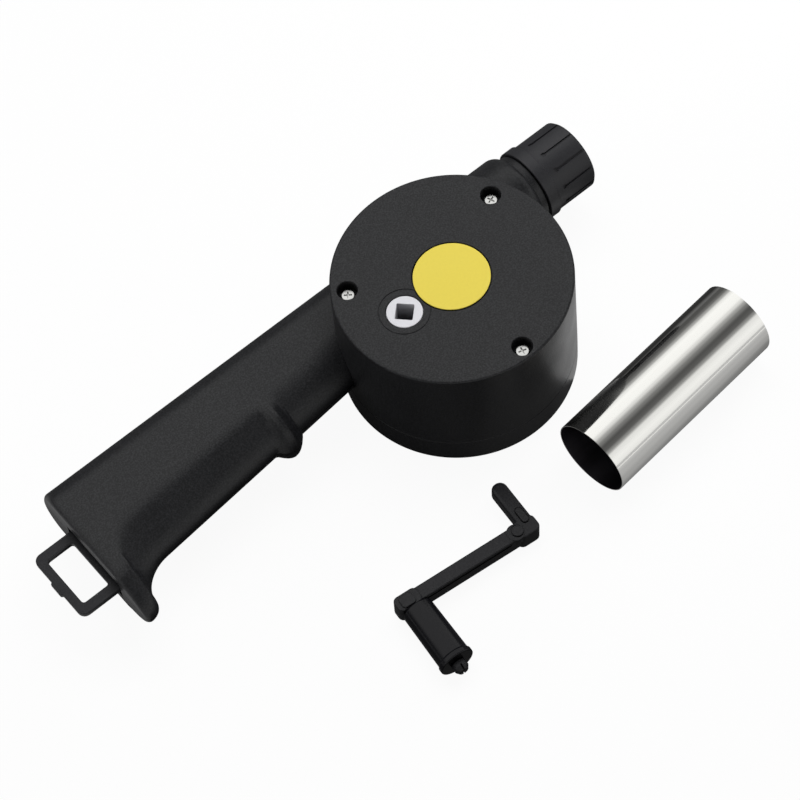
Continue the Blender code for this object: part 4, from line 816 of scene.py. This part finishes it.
def makeCollar():
    start = neck["end"] + collar["gap"]
    flange = start + collar["flangeLength"]
    end = start + collar["length"]
    tip = neck["end"] + neck["spigotLength"] + collar["gap"]
    fit = neck["spigot"] + collar["gap"]
    outer = roundCorners([
        (neck["bore"], end, 0.0), (collar["radius"] - collar["lip"], end, 0.3),
        (collar["radius"], end - collar["lip"], 0.5), (collar["radius"], flange + collar["step"], 0.2),
        (collar["flangeRadius"], flange, 0.3), (collar["flangeRadius"], start, 0.4), (fit, start, 0.0),
    ], segments=4)
    path = outer + [(fit, tip), (neck["bore"], tip)]
    steps = []
    for number in range(collar["grooves"]):
        turn = math.radians(collar["phase"] + 360.0 * number / collar["grooves"])
        cutter = grooveCutter(flange + collar["band"], end + 1.0)
        outward = Matrix.Translation((collar["radius"] * mm, 0.0, 0.0))
        cutter.transform(neckAxis() @ Matrix.Rotation(turn, 4, "Z") @ outward)
        steps.append(cutter)
    bm = shaped(spun(path, neck["steps"], closed=True, matrix=neckAxis()), [("DIFFERENCE", merged(*steps))])
    addPiece("grooved_collar", bm, "housing", collarPlastic, ["nozzle_collar"], 28.0)


makeCollar()


# Label disc and the white hub with its socket

def makeLabel():
    bottom = drum["height"] - label["recess"] + label["gap"]
    top = bottom + label["thickness"]
    path = roundCorners([(0.0, top, 0.0), (label["radius"], top, label["edge"]),
                         (label["radius"], bottom, 0.0), (0.0, bottom, 0.0)], segments=3)
    path.insert(1, (path[1][0] - 0.2, top))  # keeps the flat top's shading even
    addPiece("yellow_disc", spun(path, 128), "housing", yellowLabel, ["label_disc"])


makeLabel()

driveGear = {
    "teeth": 44, "module": 0.8, "bottom": 49.9, "top": 54.4, "collar": 9.2, "stem": 6.4, "pilot": 3.0,
    "foot": 43.3, "plate": 41.0, "socket": 7.3, "socketTurn": 43.0, "floor": 44.7, "edge": 0.35, "play": 0.36,
    "collarTop": 60.4, "lip": 0.3,
}


def gearPoints(teeth, module, play, facing):
    # Straight-flanked stand-in for the hidden teeth, one tooth's middle at facing.
    pitch = 0.5 * module * teeth
    points = []
    for tooth in range(teeth):
        middle = facing + 2 * math.pi * tooth / teeth
        for side in (-1.0, 1.0):
            rows = ((pitch - 1.25 * module, 0.80), (pitch, 0.5 * (0.5 * math.pi - play / module)),
                    (pitch + module, 0.25))
            for radius, half in rows if side < 0 else reversed(rows):
                angle = middle + side * half * module / radius
                points.append((radius * math.cos(angle), radius * math.sin(angle)))
    return points


def makeDriveGear():
    g = driveGear
    pinX, pinY = insideMounts["pin"]["places"][0]
    facing = math.atan2(pinY, pinX - hub["x"])
    top = drum["height"]
    path = roundCorners([
        (0.0, top, 0.0), (hub["radius"], top, g["edge"]), (hub["radius"], g["collarTop"], 0.0),
        (g["collar"], g["collarTop"], 0.3), (g["collar"], g["top"] - 0.5, 0.0), (0.0, g["top"] - 0.5, 0.0),
    ], segments=4)
    path.insert(1, (path[1][0] - 0.3, top))
    lower = [(0.0, 0.0, g["stem"], g["foot"], g["bottom"] + 0.5)]
    pilot = [(0.0, 0.0, g["pilot"], g["plate"], g["foot"] + 0.5)]
    half = 0.5 * g["socket"]
    square = rectangle(-half, -half, half, half, 0.4, 3)
    wide = rectangle(-half - g["lip"], -half - g["lip"], half + g["lip"], half + g["lip"], 0.6, 3)
    turn = Matrix.Rotation(math.radians(g["socketTurn"]), 4, "Z")
    rim = slab(wide, top - g["lip"], top + 1.0)
    low = (top - g["lip"] + 0.05) * mm
    bmesh.ops.scale(rim, vec=(2 * half / (2 * half + 2 * g["lip"]),) * 2 + (1.0,),
                    verts=[v for v in rim.verts if v.co.z < low])
    rim.transform(turn)
    bm = shaped(slab(gearPoints(g["teeth"], g["module"], g["play"], facing), g["bottom"], g["top"]), [
        ("UNION", spun(path, 96)), ("UNION", pegs(lower)), ("UNION", pegs(pilot, 32)),
        ("DIFFERENCE", slab(square, g["floor"], top + 1.0, matrix=turn)), ("DIFFERENCE", rim),
    ])
    bm.transform(Matrix.Translation((hub["x"] * mm, hub["y"] * mm, 0.0)))
    addPiece("drive_gear_hub", bm, "drive", hubNylonPaintedShade, ["drive_gear"])


makeDriveGear()


# Screws

screw = {
    "head": 3.0, "height": 2.0, "shank": 1.5, "reach": 2.15, "slot": 0.85, "depth": 1.25, "steps": 64,
    "length": 13.0, "turns": (17.0, 52.0, 74.0),
}


def screwMesh(length, matrix):
    s = screw
    dome = roundCorners([
        (0.0, s["height"], 0.0), (0.86 * s["head"], s["height"] - 0.02, 0.3),
        (s["head"], s["height"] - 0.5, 0.25), (s["head"], 0.0, 0.15), (s["shank"], 0.0, 0.0),
    ], segments=5)
    path = dome + [(s["shank"], -length + s["shank"]), (0.0, -length)]
    slots = []
    for across, along in ((s["reach"], 0.5 * s["slot"]), (0.5 * s["slot"], s["reach"])):
        outline = rectangle(-across, -along, across, along, 0.2)
        slot = slab(outline, s["height"] - s["depth"], s["height"] + 1.0)
        floor = [vert for vert in slot.verts if vert.co.z < s["height"] * mm]
        bmesh.ops.scale(slot, vec=(0.55, 0.55, 1.0), verts=floor)
        slots.append(("DIFFERENCE", slot))
    bm = shaped(spun(path, s["steps"]), slots)
    bm.transform(matrix)
    return bm


def makeScrews():
    for number, (x, y) in enumerate(boltPlaces(), 1):
        spot = Matrix.Translation((x * mm, y * mm, (bolts["seat"] + 0.3) * mm))
        spin = Matrix.Rotation(math.radians(screw["turns"][number - 1]), 4, "Z")
        addPiece(f"cover_screw_head_{number}", screwMesh(screw["length"], spot @ spin), "housing",
                 screwSteel, [f"cover_screw_{number}"])
    seat = handle["level"] - 0.5 * handle["thickness"] + handleScrews["seat"]
    for number, (x, y) in enumerate(handleScrews["places"], 1):
        spot = Matrix.Translation((x * mm, y * mm, seat * mm)) @ Matrix.Rotation(math.pi, 4, "X")
        addPiece(f"handle_screw_head_{number}", screwMesh(handleScrews["length"], spot), "housing",
                 screwSteel, [f"handle_screw_{number}"])


makeScrews()


# Steel tube

tube = {"radius": 17.3, "wall": 0.4, "length": 90.3, "x": 47.2, "y": -77.6, "turn": 5.3, "points": 240,
        "seamAngle": 146.0, "seamDepth": 0.10}


def makeTube():
    # A ring outline with a dent for the rolled seam, drawn out along the tube.
    t = tube
    inner = t["radius"] - t["wall"]
    bm = bmesh.new()
    seam = round(t["seamAngle"] / 360.0 * t["points"])
    outerRing, innerRing = [], []
    for i in range(t["points"]):
        angle = 2 * math.pi * i / t["points"]
        dent = t["seamDepth"] if i == seam else 0.0
        for ring, radius in ((outerRing, t["radius"] - dent), (innerRing, inner)):
            ring.append(bm.verts.new((0.0, radius * math.cos(angle) * mm, radius * math.sin(angle) * mm)))
    edges = [bm.edges.new(pair) for ring in (outerRing, innerRing) for pair in zip(ring, ring[1:] + ring[:1])]
    bmesh.ops.bridge_loops(bm, edges=edges)
    ends = bm.faces[:]
    grown = bmesh.ops.extrude_face_region(bm, geom=ends)["geom"]
    bmesh.ops.translate(bm, vec=(t["length"] * mm, 0, 0),
                        verts=[v for v in grown if isinstance(v, bmesh.types.BMVert)])
    bmesh.ops.recalc_face_normals(bm, faces=bm.faces[:])
    rims = [e for e in bm.edges if abs(e.verts[0].co.x - e.verts[1].co.x) < 0.001 * mm
            and abs(e.calc_face_angle(0.0)) > 1.0]
    bmesh.ops.bevel(bm, geom=rims, offset=0.1 * mm, offset_type="OFFSET", segments=2, profile=0.5,
                    affect="EDGES", clamp_overlap=True, material=-1)
    place = Matrix.Translation((t["x"] * mm, t["y"] * mm, t["radius"] * mm))
    lie = place @ Matrix.Rotation(math.radians(t["turn"]), 4, "Z")
    bm.transform(lie @ Matrix.Translation((-0.5 * t["length"] * mm, 0, 0)))
    middle = lie.inverted()
    for face in bm.faces:
        spot = middle @ face.calc_center_median()
        # Faces inside the tube take the darkened steel, painted shade.
        face.material_index = int(math.hypot(spot.y, spot.z) < (inner + 0.05) * mm)
    made = addPiece("steel_outlet_tube", bm, "tube", tubeSteel, ["outlet_tube"])
    made.data.materials.append(tubeInsidePaintedShade)


makeTube()


# Crank

crank = {
    "x": -34.4, "y": -84.2, "turn": 174.0, "arm": 57.6, "armWidth": 6.2, "armHeight": 8.2, "flange": 1.5,
    "groove": 1.2, "elbowHeight": 9.2, "elbowHalf": 4.0, "elbowRun": 6.4, "back": 4.1,
    "front": 7.2, "side": 3.6, "raised": 0.5, "stubWidth": 6.9, "stubLength": 23.6, "stubTip": 3.3,
    "edge": 0.5, "dot": 2.5, "dotBack": 1.0, "oval": (-1.8, -8.8, 1.2, -1.4), "ovalCorner": 1.45, "rim": 0.22,
    "moat": 0.42, "moatCorner": 1.9, "padBack": 1.2, "padFront": 2.0, "padNear": 2.52, "padFar": 3.096,
    "padCorner": 1.7, "padRaised": 0.7, "padEdge": 0.4,
}
grip = {
    "radius": 6.7, "endRadius": 7.05, "flangeRadius": 7.6, "flange": 2.2, "length": 29.0,
    "pin": 2.4, "head": 3.2, "headLength": 4.45, "headTip": 1.984, "headSlope": 1.8, "slitWidth": 0.7,
    "slitDepth": 2.6, "gap": 0.3, "eyeFloor": 1.4, "steps": 96,
}


def crankPlace():
    # Own +X runs from the drive elbow to the grip's axis, own +Y along the grip.
    c = crank
    below = c["elbowHeight"] - 0.5 * c["stubWidth"]
    reach = c["arm"] + c["elbowHalf"]
    tilt = math.asin(grip["flangeRadius"] / math.hypot(below, reach)) - math.atan2(below, reach)
    toGrip = Matrix.Translation((c["arm"] * mm, 0, 0))
    spot = Matrix.Translation((c["x"] * mm, c["y"] * mm, grip["flangeRadius"] * mm))
    return (spot @ Matrix.Rotation(math.radians(c["turn"]), 4, "Z") @ toGrip @ Matrix.Rotation(-tilt, 4, "Y")
            @ toGrip.inverted())


def makeCrank():
    c = crank
    half, top = 0.5 * c["armWidth"], 0.5 * c["stubWidth"]
    raised = top + c["raised"]
    end = c["arm"] + c["front"]
    arm = slab(rectangle(-half, -half, c["arm"], half, 1.0), top - c["armHeight"], top, c["edge"])
    elbow = slab(rectangle(-c["elbowHalf"], -c["elbowHalf"], c["elbowRun"], c["elbowHalf"], 2.6),
                 top - c["elbowHeight"], top, c["edge"])
    knuckle = slab(rectangle(c["arm"] - c["back"], -c["side"], end, c["side"], 2.4),
                   raised - c["elbowHeight"], raised, 0.6)
    padOutline = rectangle(c["arm"] - c["padBack"], -c["padNear"], end - c["padFront"], c["padFar"],
                           c["padCorner"])
    pad = slab(padOutline, 0.0, raised + c["padRaised"], c["padEdge"])
    stub = slab(rectangle(-top, -c["stubLength"], top, 0.0, c["stubTip"]), -top, top, 1.5, 5)
    boss = slab(circlePoints(c["elbowRun"], 0.0, c["elbowHalf"] - 0.2), 0.0, top + 0.2, 0.15, 2)
    dotX = c["elbowRun"] - c["dotBack"]
    dot = slab(circlePoints(dotX, 0.0, c["dot"]), 0.0, raised + 0.3, c["rim"], 2)
    oval = slab(rectangle(*c["oval"], c["ovalCorner"], 8), 0.0, raised + 0.1, c["rim"], 2)
    lowX, lowY, highX, highY = c["oval"]
    m = c["moat"]
    around = rectangle(lowX - m, lowY - m, highX + m, highY + m, c["moatCorner"], 8)
    moat = merged(slab(circlePoints(dotX, 0.0, c["dot"] + m), top - 0.1, top + 2.0),
                  slab(around, top - 0.5, top + 2.0))
    high = top - c["flange"]
    steps = [("UNION", tool) for tool in (elbow, knuckle, pad, stub, boss)]
    steps += [("DIFFERENCE", moat), ("UNION", dot), ("UNION", oval)]
    for near, far in ((-half - 1.0, c["groove"] - half), (half - c["groove"], half + 1.0)):
        steps.append(("DIFFERENCE", block((c["elbowRun"] + c["elbowHalf"], near, high - c["groove"]),
                                          (c["arm"] - c["back"] - 0.6, far, high))))
    eye = rodAlongY(c["arm"], 0.0, grip["pin"] + grip["gap"], grip["eyeFloor"] - c["side"], c["side"] + 1.0)
    steps.append(("DIFFERENCE", eye))
    bm = shaped(arm, steps)
    bm.transform(crankPlace())
    addPiece("crank_bar", bm, "crank", crankPlastic, ["crank_arm"])


makeCrank()


def makeGrip():
    g = grip
    start = crank["side"] + g["gap"]
    end = start + g["length"]
    bore = g["pin"] + g["gap"]
    lie = (crankPlace() @ Matrix.Translation((crank["arm"] * mm, 0, 0))
           @ Matrix.Rotation(-0.5 * math.pi, 4, "X"))
    path = roundCorners([
        (bore, end, 0.0), (g["flangeRadius"], end, 0.6), (g["flangeRadius"], end - g["flange"], 0.5),
        (g["endRadius"], end - g["flange"] - 0.6, 0.4), (g["radius"], start, 0.8), (bore, start, 0.0),
    ], segments=5)
    addPiece("turning_grip", spun(path, g["steps"], closed=True, matrix=lie), "grip",
             gripPlastic, ["crank_grip"])
    head = end + g["gap"]
    tip = head + g["headLength"]
    inner = g["eyeFloor"] - crank["side"] + g["gap"]
    pinPath = roundCorners([
        (0.0, tip, 0.0), (g["headTip"], tip - 0.1, 0.6), (g["head"], tip - g["headSlope"], 0.8),
        (g["head"], head, 0.2), (g["pin"], head, 0.0), (g["pin"], inner, 0.0), (0.0, inner, 0.0),
    ], segments=5)
    half = 0.5 * g["slitWidth"]
    slit = block((-half, -g["head"] - 1.0, tip - g["slitDepth"]), (half, g["head"] + 1.0, tip + 1.0))
    bm = shaped(spun(pinPath, 64), [("DIFFERENCE", slit)])
    bm.transform(lie)
    addPiece("grip_pin_head", bm, "crank", crankPlastic, ["grip_pin"])


makeGrip()


# CAD nodes inside the drum keep their shapes and get their finishes

insideFinishes = {
    "impeller": impellerPlastic, "gear_plate": platePlastic, "intermediate_gear": whiteNylon,
    "impeller_pinion": whiteNylon, "impeller_shaft": screwSteel, "intermediate_pin": screwSteel,
    "plate_screw_1": screwSteel, "plate_screw_2": screwSteel, "plate_screw_3": screwSteel,
    "thrust_washer": screwSteel, "rear_shaft_bush": bushBronze, "front_shaft_bush": bushBronze,
}
for nodeName, finish in insideFinishes.items():
    for socket in frame["nodes"][nodeName].material_slots:
        socket.material = finish
print("inside pieces finished")


# Floor, lamps and camera

studio = {
    "floorSize": 4.0, "floorDrop": 0.1, "floorWhite": 0.90, "floorGlow": 0.94, "floorGrey": 0.14,
    "fill": 0.09, "bandTurn": 5.3, "sheenStart": -300.0, "sheenEnd": 150.0, "sheenLeft": (-30.0, -5.0, 0.08),
    "sheenEndLeft": (-182.0, -196.0, 0.7),
}
# What shiny pieces see in the floor, by its place along Y.
floorSheen = (
    (-300, 0.60), (-140, 0.47), (-113, 0.38), (-97, 0.22), (-84, 0.13), (-64, 0.14), (-50, 0.11),
    (-38, 0.05), (-20, 0.03), (10, 0.03), (60, 0.08), (150, 0.14),
)
# What shiny pieces see, as an angle from the far horizon over the top to the near one (0 to 1).
studioBands = (
    (0.0, 0.085), (0.06, 0.09), (0.115, 0.16), (0.17, 0.42), (0.22, 0.95), (0.27, 1.10), (0.395, 1.07),
    (0.445, 0.82), (0.505, 0.39), (0.555, 0.20), (0.615, 0.09), (0.675, 0.11), (0.728, 0.31), (0.78, 0.88),
    (0.88, 1.00), (0.94, 0.95), (1.0, 0.72),
)


def fillRamp(ramp, rows, blue=1.0):
    ramp.interpolation = "EASE"
    while len(ramp.elements) < len(rows):
        ramp.elements.new(0.5)
    for element, (position, value) in zip(ramp.elements, rows):
        element.position = position
        element.color = (value, value, blue * value, 1.0)


def makeFloor():
    bm = bmesh.new()
    bmesh.ops.create_grid(bm, x_segments=1, y_segments=1, size=0.5 * studio["floorSize"])
    bmesh.ops.translate(bm, vec=(0, 0, -studio["floorDrop"] * mm), verts=bm.verts[:])
    mesh = bpy.data.meshes.new("floor")
    bm.to_mesh(mesh)
    bm.free()
    floor = bpy.data.objects.new("floor", mesh)
    bpy.context.scene.collection.objects.link(floor)
    material = bpy.data.materials.new("floor_white")
    material.use_nodes = True
    tree = material.node_tree
    tree.nodes.clear()
    make = nodeMaker(tree)
    path = make("ShaderNodeLightPath").outputs
    paint = ranged(make, path["Is Camera Ray"], 0.0, 1.0, studio["floorGrey"], studio["floorWhite"])
    matt = make("ShaderNodeBsdfDiffuse", {"Color": paint})
    split = make("ShaderNodeSeparateXYZ", {"Vector": make("ShaderNodeTexCoord").outputs["Object"]}).outputs
    start, end = studio["sheenStart"], studio["sheenEnd"]
    sheen = make("ShaderNodeValToRGB", {"Fac": ranged(make, split["Y"], start * mm, end * mm)})
    fillRamp(sheen.color_ramp, [((y - start) / (end - start), value) for y, value in floorSheen])
    low, high, least = studio["sheenLeft"]
    left = ranged(make, split["X"], low * mm, high * mm, least)
    limited = calc(make, "MINIMUM", sheen.outputs["Color"], left)
    low, high, most = studio["sheenEndLeft"]
    mirrored = calc(make, "MAXIMUM", limited, ranged(make, split["X"], low * mm, high * mm, 0.0, most))
    strength = ranged(make, path["Is Glossy Ray"], 0.0, 1.0, 1.0, mirrored)
    glow = make("ShaderNodeEmission", {"Color": (1, 1, 1, 1), "Strength": strength})
    seen = calc(make, "MULTIPLY", path["Is Camera Ray"], studio["floorGlow"])
    share = calc(make, "MAXIMUM", seen, path["Is Glossy Ray"])
    mix = make("ShaderNodeMixShader", {0: share, 1: matt.outputs["BSDF"], 2: glow.outputs["Emission"]})
    make("ShaderNodeOutputMaterial", {"Surface": mix.outputs["Shader"]})
    mesh.materials.append(material)


def makeWorld():
    # White behind everything, soft boxes in the reflections, and a little fill.
    world = bpy.data.worlds.new("studio")
    bpy.context.scene.world = world
    world.use_nodes = True
    tree = world.node_tree
    tree.nodes.clear()
    make = nodeMaker(tree)
    place = make("ShaderNodeTexCoord").outputs["Generated"]
    turned = make("ShaderNodeVectorRotate", {"Vector": place, "Angle": -math.radians(studio["bandTurn"])},
                  rotation_type="Z_AXIS")
    split = make("ShaderNodeSeparateXYZ", {"Vector": turned.outputs["Vector"]}).outputs
    angle = calc(make, "ARCTAN2", split["Z"], split["Y"])
    bands = make("ShaderNodeValToRGB", {"Fac": calc(make, "DIVIDE", angle, math.pi)})
    fillRamp(bands.color_ramp, studioBands, 0.985)
    path = make("ShaderNodeLightPath").outputs
    glossy = mixed(make, path["Is Glossy Ray"], (studio["fill"],) * 3, bands.outputs["Color"])
    seen = mixed(make, path["Is Camera Ray"], glossy, (1.0, 1.0, 1.0))
    sky = make("ShaderNodeBackground", {"Color": seen, "Strength": 1.0})
    make("ShaderNodeOutputWorld", {"Surface": sky.outputs["Background"]})


lamps = {
    # name: place, aim, width, height, watts
    "top_box": ((240, 260, 960), (0, 0, 0), 1100, 700, 9.4),
    "right_box": ((820, 120, 300), (30, -10, 30), 420, 420, 3.0),
    "left_box": ((-950, 260, 330), (-120, 0, 20), 420, 420, 2.6),
    "floor_card": ((62, -34, 1), (62, -34, 100), 68, 62, 0.0112),  # a pale card lying beside the drum
}
floorCardSeenBy = {"floor_card": ("drum_and_handle_front", "intake_cover", "grooved_collar")}


def makeLamps():
    for name, (place, aim, width, height, watts) in lamps.items():
        data = bpy.data.lights.new(name, "AREA")
        data.shape = "RECTANGLE"
        data.size = width * mm
        data.size_y = height * mm
        data.energy = watts
        lamp = bpy.data.objects.new(name, data)
        back = (Vector(place) - Vector(aim)).normalized()
        turn = back.to_track_quat("Z", "Y").to_matrix().to_4x4()
        lamp.matrix_world = Matrix.Translation(Vector(place) * mm) @ turn
        lamp.visible_glossy = name in floorCardSeenBy
        lamp.visible_camera = False
        if name in floorCardSeenBy:
            group = bpy.data.collections.new(name + "_receivers")
            for piece in floorCardSeenBy[name]:
                group.objects.link(bpy.data.objects[piece])
            lamp.light_linking.receiver_collection = group
        bpy.context.scene.collection.objects.link(lamp)


camera = {
    "place": (-333.5, -463.1, 975.3), "aim": (-33.1, -0.1, 0.0), "roll": -7.94, "lens": 119.1, "sensor": 36.0,
}


def makeCamera():
    data = bpy.data.cameras.new("camera")
    data.lens = camera["lens"]
    data.sensor_width = camera["sensor"]
    data.clip_end = 20.0
    eye = bpy.data.objects.new("camera", data)
    back = (Vector(camera["place"]) - Vector(camera["aim"])).normalized()
    right = Vector((0, 0, 1)).cross(back).normalized()
    up = back.cross(right)
    roll = math.radians(camera["roll"])
    right, up = (math.cos(roll) * right + math.sin(roll) * up, math.cos(roll) * up - math.sin(roll) * right)
    turn = Matrix((right, up, back)).transposed().to_4x4()
    eye.matrix_world = Matrix.Translation(Vector(camera["place"]) * mm) @ turn
    bpy.context.scene.collection.objects.link(eye)
    bpy.context.scene.camera = eye


makeFloor()
makeWorld()
makeLamps()
makeCamera()
bpy.context.scene.view_settings.view_transform = "Standard"
print("studio ready")

bpy.data.meshes.remove(handleMesh)
bpy.data.collections.remove(helpers)
